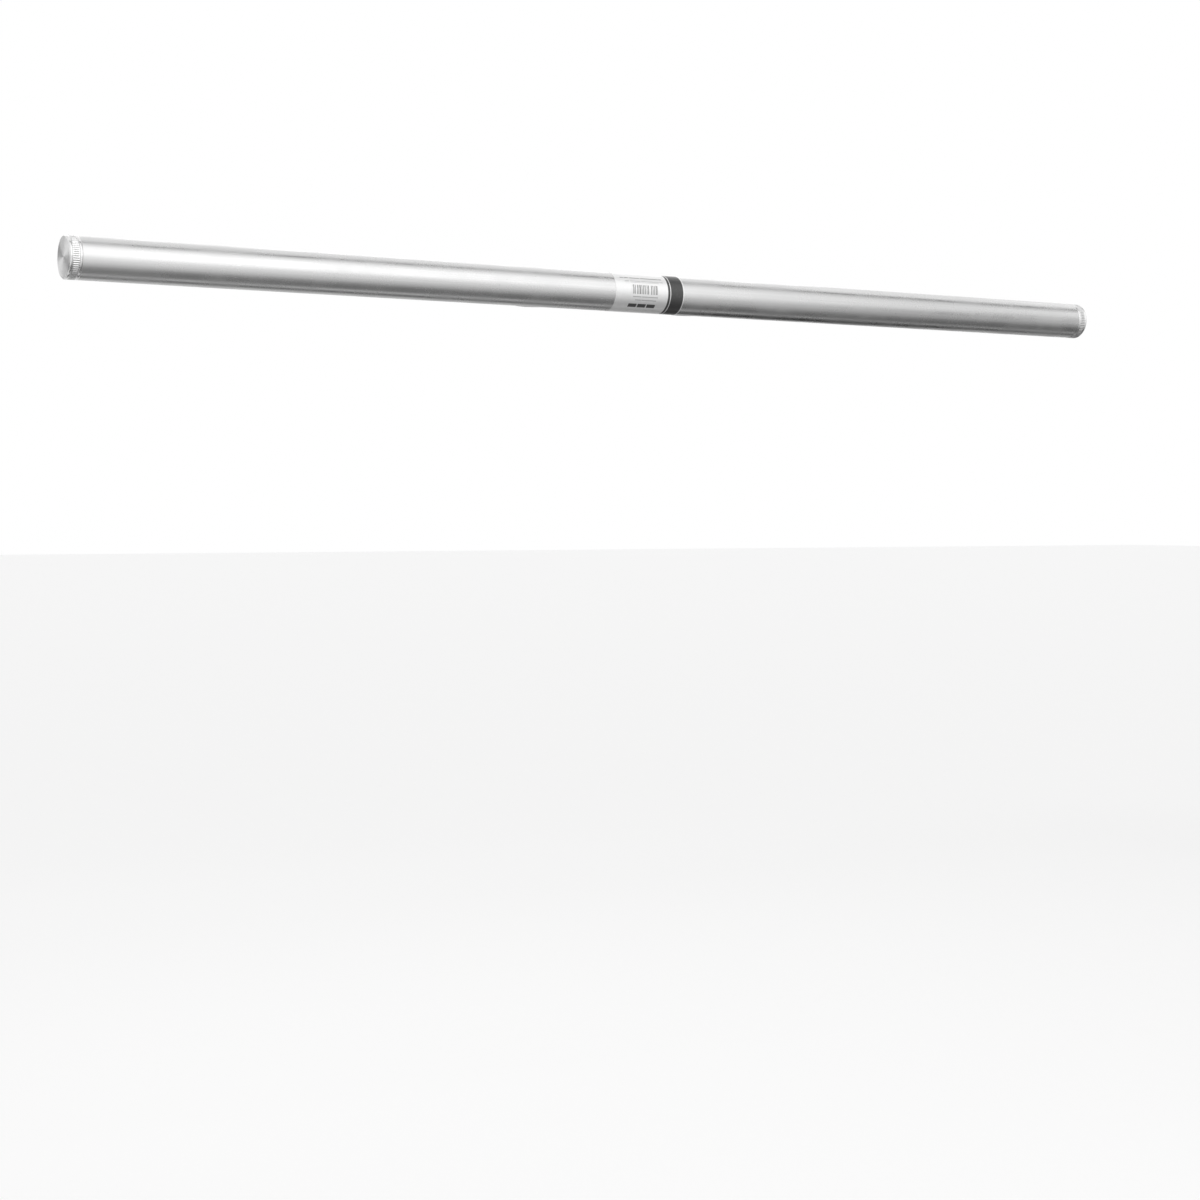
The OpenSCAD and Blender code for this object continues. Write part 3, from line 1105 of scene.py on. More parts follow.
@dataclass(frozen=True)
class Pole:
    """The tube and the size label wrapped round its middle.

    Args:
        finishes: What it is dressed in.
        segments: Points round the tube.
        edge: Radius of the tube's outer end edges.
        bolt_hole: Radius of its two bolt holes.
        label_corner: Radius of the label's corners.
        label_gap: How far the label's underside lies outside the CAD film's.
    """

    finishes: Finishes
    segments: int = 256
    edge: float = 0.5 * MM
    bolt_hole: float = 5.5 * MM
    label_corner: float = 3.0 * MM
    label_gap: float = 0.04 * MM

    def build(self) -> None:
        """Makes both pieces."""
        self._tube()
        self._label()

    def _tube(self) -> None:
        """Turns the tube's section, a long ring with rounded edges, and drills its two bolt holes."""
        size = Gauge.read("pole_tube", POLE_AXIS)
        edge = self.edge
        section = size.section(edge / 2, edge, edge, edge / 2)
        tube = Workpiece("tube", lathe(section, self.segments, ring=True), POLE_AXIS)
        for side in Side:
            tube.cut(rod(self.bolt_hole, 0, 2 * size.outer), place=bolt_line(side))
        finish(tube.done(), "pole", "pole_tube", self.finishes.tube)

    def _label(self) -> None:
        """Wraps the film round the tube.

        Column u runs along the pole and row v round it. The wrap's half angle shrinks near each
        end by the sagitta of the corner's circle, which rounds the four corners. Rows go out over
        the film's face and back along its underside, and the end columns fold onto each other.
        """
        size = Gauge.read("size_label", POLE_AXIS)
        low_r, high_r = size.inner + self.label_gap, size.outer
        corner, length, wrap_rows = self.label_corner, size.high - size.low, 97
        near_end = corner * (1 - np.cos(np.linspace(0, np.pi / 2, 8)))
        straight = np.linspace(corner, length - corner, 21)[1:-1]
        along = np.concatenate([near_end, straight, length - near_end[::-1]])
        overshoot = np.clip(corner - np.minimum(along, length - along), 0, corner)
        half_wrap = self._half_wrap() - (corner - np.sqrt(corner**2 - overshoot**2)) / high_r
        share = np.linspace(-1, 1, wrap_rows)
        share = np.concatenate([share, share[::-1]])[:, None]
        outward = np.repeat([1.0, 0.0], wrap_rows)[:, None]
        along = np.concatenate([along[:1], along, along[-1:]])
        half_wrap = np.concatenate([half_wrap[:1], half_wrap, half_wrap[-1:]])
        open_column = np.ones(len(along))
        open_column[[0, -1]] = 0
        radius = low_r + (high_r - low_r) * outward * open_column
        angle = share * half_wrap
        x = np.broadcast_to(size.low + along, angle.shape)
        points = np.stack([x, -radius * np.cos(angle), radius * np.sin(angle)], axis=-1)
        film = mesh_object("label", woven(points, close_rows=True, close_columns=False))
        finish(film, "pole", "size_label", Coat(Slot.FILM, PrintedFilm(high_r).material()))

    @staticmethod
    def _half_wrap() -> float:
        """Half of the angle that the CAD film wraps round the tube, from its front."""
        _, y, z = node_points("size_label").T
        return float(np.abs(np.arctan2(z, -y)).max())


@dataclass(frozen=True)
class EndCap(Assembly):
    """A turned cap with a knurled band, its screwed plug and the seal on it.

    Sizes are in millimetres, and heights run outwards from the tube's end.

    Args:
        face: Height of the outer face.
        bevel: Size of the bevel round it.
        knurl_from: Height where the knurled band starts.
        knurl_to: Height where it ends.
        ribs: Number of its ribs.
        knurl_depth: Depth of the valleys between them.
        crown: Fall of a rim's edges, as a share of half its width.
        crest: Radius of the ribs.
        undercut: Radius of the grooves beside the band.
        wall: Thickness of the end wall.
        plug_wall: Thickness of the plug's wall.
        plug: Length of the plug.
        plug_gap: Air between the plug and the tube's bore.
        groove: The seal's groove: its radius, its lower and its upper height.
        ledge: Inner radius of the face's flat ring.
        dish: Depth of the face inside it.
        pitch: Pitch of the plug's thread.
        thread_depth: Depth of that thread.
        thread_beyond: Radius outside which it is cut.
        flash: Height of the seal's flash line, in metres.
    """

    face: float = 15.5
    bevel: float = 1.5
    knurl_from: float = 3.0
    knurl_to: float = 11.6
    ribs: int = 60
    knurl_depth: float = 0.45
    crown: float = 0.25
    crest: float = 25.05
    undercut: float = 24.35
    wall: float = 5.0
    plug_wall: float = 5.5
    plug: float = 25.0
    plug_gap: float = 0.05
    groove: tuple[float, float, float] = (18.9, -7.1, -3.5)
    ledge: float = 21.6
    dish: float = 0.18
    pitch: float = 1.5
    thread_depth: float = 0.7
    thread_beyond: float = 20.0
    flash: float = 0.03 * MM

    @property
    def place(self) -> Placement:
        """The tube's end on this side, facing out of it."""
        end = Gauge.read("pole_tube", POLE_AXIS).high
        return Placement.facing((self.side.value * end, 0, 0), (self.side.value, 0, 0), (0, 1, 0))

    def build(self) -> None:
        """Makes the cap and its seal."""
        node = self.side.node("end_cap")
        size = Gauge.read(node, self.place)
        shape = lathe(self._profile(size.outer), 6 * self.ribs, self._reliefs())
        cap = mesh_object(self.side.node("cap"), shape.at(self.place))
        finish(cap, node, node, self.finishes.turned, sharp=50)
        self._seal()

    def _profile(self, outer: float) -> np.ndarray:
        """Goes from the inside of the end wall round the plug and the bands to the face.

        Args:
            outer: Radius of the rims, in metres.

        Returns:
            Half section of the cap: rows of radius and height, in metres.
        """
        plug_r = Gauge.read("pole_tube", POLE_AXIS).inner / MM - self.plug_gap
        rim = outer / MM
        groove_r, foot, top = self.groove
        low, high, face = self.knurl_from, self.knurl_to, self.face
        profile = turned(
            (0, face - self.wall, 0), (plug_r - self.plug_wall, face - self.wall, 1.2),
            (plug_r - self.plug_wall, -self.plug, 0.3), (plug_r, -self.plug, 0.9),
            (plug_r, foot, 0.2), (groove_r, foot, 0.3), (groove_r, top, 0.3), (plug_r, top, 0.2),
            (plug_r, 0, 0), *self._crowned(rim, 0.1, low - 0.2), (self.undercut, low, 0.08),
            (self.crest, low + 0.3, 0.1), (self.crest, high - 0.3, 0.1), (self.undercut, high, 0.08),
            *self._crowned(rim, high + 0.2, face - self.bevel), (rim - self.bevel, face, 0.25),
            (self.ledge, face, 0.4), (self.ledge - 0.4, face - self.dish, 0.4), (1.6, face - 0.10, 0.3),
            (0, face - 0.55, 0),
        )
        profile = refined(profile, -self.plug * MM, foot * MM, self.pitch * MM / 8)
        return refined(profile, low * MM, high * MM, 0.8 * MM)

    def _crowned(self, rim: float, low: float, high: float) -> list[tuple[float, float, float]]:
        """Crowns a rim: its radius falls with the square of the way from its middle line.

        Args:
            rim: Its greatest radius.
            low: Its lower height.
            high: Its upper height.

        Returns:
            Corners of its section, which stay sharp.
        """
        middle, half = (low + high) / 2, (high - low) / 2
        places = np.linspace(-1, 1, 11)
        return [(rim - self.crown * half * t**2, middle + half * t, 0.0) for t in places]

    def _reliefs(self) -> list[Relief]:
        """Carves the knurl on the band and the thread on the plug.

        Returns:
            Both reliefs.
        """
        low, high = (self.knurl_from + 0.3) * MM, (self.knurl_to - 0.3) * MM
        sizes = np.array([-self.plug, self.groove[1], self.thread_depth, self.thread_beyond, self.pitch])
        return [
            Knurl(low, high, self.knurl_depth * MM, (self.crest - 2) * MM, self.ribs),
            Thread(*(sizes * MM)),
        ]

    def _seal(self) -> None:
        """Turns the seal's round section with the fine flash line that its mould leaves.

        The flash is a narrow bell of the sine of the angle, on the half that looks to the axis.
        """
        node = self.side.node("cap_seal")
        size = Gauge.read(node, self.place)
        thick = (size.high - size.low) / 2
        angle = np.arange(36) * (TAU / 36)
        bulge = thick + self.flash * np.exp(-((np.sin(angle) / 0.12) ** 2)) * (np.cos(angle) < 0)
        middle = np.array([size.outer - thick, (size.low + size.high) / 2])
        section = middle + bulge[:, None] * np.column_stack([np.cos(angle), np.sin(angle)])
        seal = mesh_object(self.side.node("seal"), lathe(section, 160, ring=True).at(self.place))
        finish(seal, node, node, self.finishes.rubber)


BENCH = Placement.facing((0, 0, 0), (0, 0, 1), (1, 0, 0))


def clamp_axes(side: Side) -> Placement:
    """Clamp's own axes: the bore's centre is the origin, and X points outwards along the pole."""
    origin = np.array(mount(side.node("chord_clamp"))["pos_m"], float)
    return Placement(origin, np.diag([float(side.value), 1.0, 1.0]))


def bolt_line(side: Side) -> Placement:
    """Mounting bolt's axis, from the pole's axis towards the clamp."""
    x = mount(side.node("chord_clamp"))["pos_m"][0]
    return Placement.facing((x, 0, 0), (0, 1, 0), (1, 0, 0))


def swing_line(side: Side) -> Placement:
    """Swing bolt's axis at rest, from its pin to its tip. Its Y lies along the pin."""
    along = joint(side.node("washer_slide"))["axis"]
    return Placement.facing(joint(side.node("bolt_swing"))["pos_m"], along, np.cross((0, 0, 1), along))


def pin_line(side: Side, name: str) -> Placement:
    """Axis of a joint's pin, along Z."""
    return Placement.facing(joint(side.node(name))["pos_m"], (0, 0, 1), (1, 0, 0))


@dataclass(frozen=True)
class HalfCoupler(Assembly):
    """Saddle and hinged jaw that close round a pipe.

    Sizes are in millimetres, in clamp axes.

    Args:
        ring: Outer radius of the ring.
        half_width: Half of the castings' width.
        half_split: Half of the gap between them.
        stock: Metal left in the blanks' bore.
        hinge: Centre of the hinge pin.
        hinge_eye: Radius of the eye round it.
        knuckle: Half of the width of the jaw's knuckle.
        swing: Centre of the swing bolt's pin.
        swing_eye: Radius of the saddle's eye round it.
        pin: Radius of both pins.
        eye_slot: Half of the width of the slot for the bolt's eye.
        fork_half: Half of the width of the saddle's lugs and the jaw's fork.
        foot: Height of the flat foot.
        base_half: Half of the foot's length.
        shoulder: Corner of the saddle under the ring.
        waist: Corner above the foot.
        eye_floor: Corner of the slot for the bolt's eye.
        fork: The jaw's fork: its lower face, the radius of its crown and its reach.
        saddle_hinge_cut: Angles on the ring between which the saddle is cut for the knuckle.
        saddle_swing_cut: The same, for the bolt's eye.
        jaw_hinge_cut: The same, for the jaw beside its knuckle.
        jaw_fork_cut: The same, for the jaw beside its fork.
        slot_half: Half of the width of the fork's open slot.
        gap: Air between moving pieces.
        bolt_bore: Radius of the mounting bolt's hole.
        head_bore: Radius of the recess for its head.
        far: Reach of cutters, past the castings.
    """

    ring: float = 31.0
    half_width: float = 15.0
    half_split: float = 0.75
    stock: float = 4.0
    hinge: tuple[float, float] = (-35.5, 0.0)
    hinge_eye: float = 6.5
    knuckle: float = 7.0
    swing: tuple[float, float] = (40.0, -9.0)
    swing_eye: float = 7.0
    pin: float = 3.0
    eye_slot: float = 4.8
    fork_half: float = 13.0
    foot: float = -37.0
    base_half: float = 17.0
    shoulder: tuple[float, float] = (24.18, -20.15)
    waist: tuple[float, float] = (22.1, -24.3)
    eye_floor: tuple[float, float] = (21.4, -26.6)
    fork: tuple[float, float, float] = (3.0, 21.0, 47.5)
    saddle_hinge_cut: tuple[float, float] = (172.0, 219.8)
    saddle_swing_cut: tuple[float, float] = (3.0, -40.5)
    jaw_hinge_cut: tuple[float, float] = (188.0, 120.0)
    jaw_fork_cut: tuple[float, float] = (-4.0, 30.0)
    slot_half: float = 4.6
    gap: float = 0.3
    bolt_bore: float = 5.5
    head_bore: float = 9.75
    far: float = 70.0

    @property
    def bore(self) -> float:
        """The mount's bore radius."""
        return mount(self.side.node("chord_clamp"))["dims"]["r_mm"]

    @property
    def blank_bore(self) -> float:
        """Bore radius of the blanks, which leaves stock to machine."""
        return self.bore - self.stock

    @property
    def inner(self) -> float:
        """Place along X where the blanks' bore meets their faces at the split."""
        return float(np.sqrt(self.blank_bore**2 - self.half_split**2))

    def build(self) -> None:
        """Makes both castings."""
        self._saddle()
        self._jaw()

    def _tangent(self, at: tuple[float, float], eye: float, turn: int) -> float:
        """Angle at which the ring and an eye share a tangent, in degrees."""
        return bearing(at) + turn * np.degrees(np.arccos((self.ring - eye) / np.hypot(*at)))

    def _solid(self, outline: np.ndarray, low: float, high: float) -> Shape:
        """Outline in millimetres carried along the bore."""
        return extruded(outline * MM, low * MM, high * MM)

    def _casting(self, name: str, outline: np.ndarray) -> Workpiece:
        """Cuts a casting's blank to its outline, outside the stock left in the bore.

        Args:
            name: Name of the casting.
            outline: Its outline.

        Returns:
            The blank, over the full width.
        """
        outline = outline[np.hypot(*outline.T) > self.blank_bore - 0.01]
        blank = self._solid(outline, -self.half_width, self.half_width)
        return Workpiece(self.side.node(name), blank, clamp_axes(self.side))

    def _edges(self, make: Callable[..., Shape], *what: object, start: float) -> list[Shape]:
        """The same cutter on both sides, from a distance off the middle to beyond the full width."""
        end = self.half_width + 1
        return [make(*what, start, end), make(*what, -end, -start)]

    def _beyond(self, start: float, end: float, *outer: tuple[float, float]) -> np.ndarray:
        """Region outside the ring between two angles, closed by far corners."""
        return np.vstack([arc((0, 0), self.ring, start, end), outer])

    def _forged(self, work: Workpiece) -> Workpiece:
        """Softens the blank as a forging is, and then machines the bore through it."""
        work.forge(voxel=0.45 * MM, passes=8)
        return work.cut(rod(self.bore * MM, -30 * MM, 30 * MM, 192))

    def _disc(self, at: tuple[float, float], radius: float, low: float, high: float) -> Shape:
        """Round cutter about one of the pins."""
        disc = rod(radius * MM, low * MM, high * MM, 96)
        return Shape(disc.points + np.array([*at, 0]) * MM, disc.quads)

    def _saddle_outline(self) -> np.ndarray:
        """Goes from the split over the bolt's eye, the foot and the hinge's eye, and back by the bore.

        Returns:
            The outline, in millimetres.
        """
        half, inner, ring = self.half_split, self.inner, self.ring
        hinge_turn = self._tangent(self.hinge, self.hinge_eye, 1)
        swing_turn = self._tangent(self.swing, self.swing_eye, -1)
        crown = bearing(self.swing) + 90
        eye_top = arc(self.swing, self.swing_eye, crown, crown)[0]
        split = -np.degrees(np.arcsin(half / self.hinge_eye))
        x, y = self.shoulder
        return rounded(np.vstack([
            [(inner, -half, 0), (ring, -half, 0), (ring, eye_top[1] * ring / eye_top[0], 0)],
            crisp(arc(self.swing, self.swing_eye, crown, swing_turn)),
            [(*self.waist, 2.0), (self.base_half, self.foot, 1.2), (-self.base_half, self.foot, 1.2)],
            [(-x, y, 2.0)],
            crisp(arc(self.hinge, self.hinge_eye, hinge_turn, split)),
            [(-inner, -half, 0)],
            crisp(arc((0, 0), self.blank_bore, 180, 360)[1:-1]),
        ]))

    def _saddle(self) -> None:
        """Carries the saddle's outline along the bore, then mills its slots and drills its holes."""
        work = self._casting("saddle_casting", self._saddle_outline())
        knuckle, slot = self.knuckle + self.gap, self.eye_slot
        corners = (self.shoulder, self.eye_floor, (self.far, self.eye_floor[1]), (self.far, 6))
        swing_side = self._beyond(*self.saddle_swing_cut, *corners)
        hinge_side = self._beyond(*self.saddle_hinge_cut, (-self.far, -27), (-self.far, 10))
        work.cut(
            self._solid(hinge_side, -knuckle, knuckle),
            self._disc(self.hinge, self.hinge_eye + self.gap, -knuckle, knuckle),
            self._solid(swing_side, -slot, slot),
            self._disc(self.swing, self.swing_eye + self.gap, -slot, slot),
            *self._edges(self._solid, swing_side, start=self.fork_half),
        )
        self._forged(work)
        for at in (self.hinge, self.swing):
            work.cut(self._disc(at, self.pin + 0.02, -30, 30))
        bolt = bolt_line(self.side)
        head = Gauge.read(self.side.node("lock_washer"), bolt)
        work.cut(
            rod(self.bolt_bore * MM, 0, self.far * MM),
            rod(self.head_bore * MM, head.low, self.far * MM, 96),
            place=bolt,
        )
        self.hand_in_forging(work, "pole", self.side.node("saddle"))

    def _jaw_outline(self) -> np.ndarray:
        """Goes from the split round the fork's crown, the ring and the hinge's eye, and back by the bore.

        Returns:
            The outline, in millimetres.
        """
        half, inner = self.half_split, self.inner
        under, rise, reach = self.fork
        web = self._tangent(self.hinge, self.hinge_eye, -1)
        split = 360 + np.degrees(np.arcsin(half / self.hinge_eye))
        past = reach - self.swing[0]
        crown_from = bearing((past, np.sqrt(rise**2 - past**2)))
        swing_out = np.hypot(*self.swing)
        spread = np.arccos((swing_out**2 + self.ring**2 - rise**2) / (2 * swing_out * self.ring))
        ring_from = np.degrees(np.arctan2(self.swing[1], self.swing[0]) + spread)
        meet = arc((0, 0), self.ring, ring_from, ring_from)[0] - self.swing
        return np.vstack([
            [(inner, half), (self.ring, half), (np.sqrt(self.ring**2 - under**2), under), (reach, under)],
            arc(self.swing, rise, crown_from, bearing(meet), 3),
            arc((0, 0), self.ring, ring_from, web)[1:],
            arc(self.hinge, self.hinge_eye, web, split),
            [(-inner, half)],
            arc((0, 0), self.blank_bore, 180, 0)[1:-1],
        ])

    def _jaw(self) -> None:
        """Carries the jaw's outline along the bore, then mills its knuckle and its open fork."""
        work = self._casting("jaw_casting", self._jaw_outline())
        hinge_side = self._beyond(*self.jaw_hinge_cut, (-self.far, 40), (-self.far, -10))
        fork_side = self._beyond(*self.jaw_fork_cut, (self.far, 40), (self.far, -5))
        work.cut(
            *self._edges(self._solid, hinge_side, start=self.knuckle),
            *self._edges(self._disc, self.hinge, self.hinge_eye + self.gap, start=self.knuckle),
            *self._edges(self._solid, fork_side, start=self.fork_half),
        )
        width = self.slot_half
        slot = np.vstack([arc((self.swing[0], 0), width, 90, 270), [(self.far, -width), (self.far, width)]])
        across = Placement(work.place.origin, work.place.axes[[0, 2, 1]])
        work.cut(extruded(slot * MM, 0, self.far * MM), place=across)
        self._forged(work).cut(self._disc(self.hinge, self.pin + 0.05, -30, 30))
        node = self.side.node("jaw")
        self.hand_in_forging(work, node, node)


@dataclass(frozen=True)
class Rivet(Assembly):
    """A pin whose two ends are spun into low domes.

    Args:
        name: Name of the pin on either side.
        joint_name: The joint that turns about it.
        head: Height of each head.
        head_to_shank: Radius of a head, as a multiple of the shank's.
    """

    name: str
    joint_name: str
    head: float = 1.0 * MM
    head_to_shank: float = 1.45

    def build(self) -> None:
        """Turns the pin: its shank, a flat under each head and a quarter ellipse over it."""
        node, place = self.side.node(self.name), pin_line(self.side, self.joint_name)
        size = Gauge.read(node, place)
        shank, half = size.outer / self.head_to_shank, (size.high - size.low) / 2 - self.head
        rise = 0.25 * self.head
        cap = dome(size.outer, half + rise, self.head - rise, 0.8, 10)
        upper = np.vstack([[(shank, half - 0.3 * MM), (shank, half), (size.outer - 0.1 * MM, half)], cap])
        lower = np.column_stack([upper[::-1, 0], -upper[::-1, 1]])
        pin = mesh_object(f"{node}_rivet", lathe(np.vstack([lower, upper]), 96).at(place))
        finish(pin, "pole", node, self.finishes.plated)


@dataclass(frozen=True)
class SwingBolt(Assembly):
    """Eye bolt with its washer and wing nut.

    Sizes are in millimetres, and places run along the bolt from its pin.

    Args:
        eye: Radius of the eye.
        eye_half: Half of its width.
        pin_bore: Radius of its bore.
        shank: Radius of the shank.
        neck: Where the neck starts, is as slim as the shank, and ends.
        neck_r: Radius where it starts.
        stud_from: Where the stud starts, inside the neck.
        length: Where the stud ends.
        thread_from: Where its thread starts.
        pitch: Pitch of the thread.
        thread_depth: Depth of the thread.
        washer_edges: Radii of the washer's edges, as in Gauge.section.
        hub: Radius of the nut's hub at its foot and at its top.
        nut_height: Height of the hub.
        wing_thick: Thickness of a wing's tip.
        wing_path: Start, bend and tip of a wing's path: its radius and its height above the foot.
        wing_points: Points round a wing's section.
    """

    eye: float = 7.0
    eye_half: float = 4.5
    pin_bore: float = 3.05
    shank: float = 4.0
    neck: tuple[float, float, float] = (3.5, 9.5, 12.0)
    neck_r: float = 4.4
    stud_from: float = 10.0
    length: float = 50.0
    thread_from: float = 14.0
    pitch: float = 1.25
    thread_depth: float = 0.68
    washer_edges: tuple[float, ...] = (0.1, 0.1, 0.5, 0.35)
    hub: tuple[float, float] = (7.0, 5.4)
    nut_height: float = 8.0
    wing_thick: float = 3.8
    wing_path: tuple[tuple[float, float], ...] = ((2.0, 4.6), (9.6, 5.4), (15.0, 16.9))
    wing_points: int = 28

    def build(self) -> None:
        """Makes the bolt, its washer and its nut."""
        self._bolt()
        self._washer()
        self._nut()

    def _bolt(self) -> None:
        """Forges the eye and neck as one skin, bores it, and joins the threaded shank."""
        place = swing_line(self.side)
        pin = pin_line(self.side, "bolt_swing")
        eye, half, end, start = self.eye, self.eye_half, self.length, self.thread_from
        low, narrow, high = self.neck
        ring = turned((0, -half, 0), (eye, -half, 1.6), (eye, half, 1.6), (0, half, 0))
        neck = turned(
            (0, low, 0), (self.neck_r, low, 0), (self.shank, narrow, 1.5), (self.shank, high, 0), (0, high, 0)
        )
        node = self.side.node("swing_bolt")
        work = Workpiece(f"{node}_forging", lathe(ring, 96).at(pin), BENCH)
        work.add(lathe(neck, 72), place=place).forge(voxel=0.3 * MM, passes=6)
        work.cut(rod(self.pin_bore * MM, -2 * half * MM, 2 * half * MM, 96), place=pin)
        crest = self.shank - 0.02
        stud = turned(
            (0, self.stud_from, 0), (crest, self.stud_from, 0), (crest, start, 0),
            (self.shank - 0.1, end - 1.2, 0.3), (self.shank - 1.1, end, 0.2), (0, end, 0),
        )
        stud = refined(stud, start * MM, end * MM, self.pitch * MM / 8)
        sizes = np.array([start, end + 1, self.thread_depth, self.shank / 2, self.pitch])
        work.add(lathe(stud, 60, [Thread(*(sizes * MM))]), place=place)
        finish(work.done(), node, node, self.finishes.plated, sharp=45)

    def _washer(self) -> None:
        """Turns a stamped washer: its upper edge is rolled, its lower edge keeps a burr."""
        node, place = self.side.node("washer"), swing_line(self.side)
        size = Gauge.read(node, place)
        section = size.section(*(edge * MM for edge in self.washer_edges))
        washer = mesh_object(f"{node}_stamping", lathe(section, 96, ring=True).at(place))
        finish(washer, node, node, self.finishes.dark_plated)

    def _nut(self) -> None:
        """Forges the hub and the two wings as one skin, then bores and faces it."""
        node, place = self.side.node("wing_nut"), swing_line(self.side)
        size = Gauge.read(node, place)
        foot, (hub, crown) = size.low / MM, self.hub
        top = foot + self.nut_height
        profile = turned(
            (0, foot, 0), (hub, foot, 0.7), (hub - 0.25, foot + 2.4, 0.8), (crown, top, 1.0), (0, top, 0)
        )
        work = Workpiece(f"{node}_forging", lathe(profile, 96), place)
        for turn in (1, -1):
            work.add(self._wing(foot, turn))
        work.forge(voxel=0.33 * MM, passes=5)
        work.cut(rod((self.shank + 0.05) * MM, (foot - 5) * MM, (foot + 30) * MM, 72))
        finish(work.done(), node, node, self.finishes.plated, sharp=50)

    def _wing(self, foot: float, turn: int) -> Shape:
        """Carries an oval section up a bent path and closes it by a round end.

        The path is a quadratic curve from inside the hub to the tip. The section's half width
        narrows to a waist and then swells, and both half sizes fall as an ellipse at the tip.

        Args:
            foot: Height of the nut's foot.
            turn: 1 or -1, for the side of the hub that it is on.

        Returns:
            One wing.
        """
        start, bend, tip = np.array(self.wing_path)
        straight, count = 0.72, self.wing_points
        rest = 1 - straight
        t = straight + rest * np.sin(np.linspace(0, np.pi / 2, 12))
        t = np.concatenate([np.linspace(0, straight, 14)[:-1], t])[:, None]
        path = (1 - t) ** 2 * start + 2 * t * (1 - t) * bend + t**2 * tip
        ahead = 2 * (1 - t) * (bend - start) + 2 * t * (tip - bend)
        ahead /= np.linalg.norm(ahead, axis=1, keepdims=True)
        across = np.column_stack([ahead[:, 1], -ahead[:, 0]])
        end = np.sqrt(np.clip(1 - (np.clip(t - straight, 0, 1) / rest) ** 2, 0, 1))
        wide = (3.7 - 1.2 * np.sin(np.pi * np.clip(t / 0.9, 0, 1))) * end
        thick = (self.wing_thick / 2 + 0.3 * (1 - t)) * end
        angle = np.arange(count) * (TAU / count)
        flat = path[:, None, :] + across[:, None, :] * (wide * self._filled(np.cos(angle)))[:, :, None]
        side = thick * self._filled(np.sin(angle))
        points = np.stack([turn * flat[:, :, 0], turn * side, flat[:, :, 1] + foot], axis=-1) * MM
        shape = woven(points)
        return Shape(shape.points, shape.quads[:, ::-1], (np.arange(count),))

    @staticmethod
    def _filled(wave: np.ndarray) -> np.ndarray:
        """The wave's size to the power 0.75, with its sign, which fills an oval's shoulders."""
        return np.sign(wave) * np.abs(wave) ** 0.75


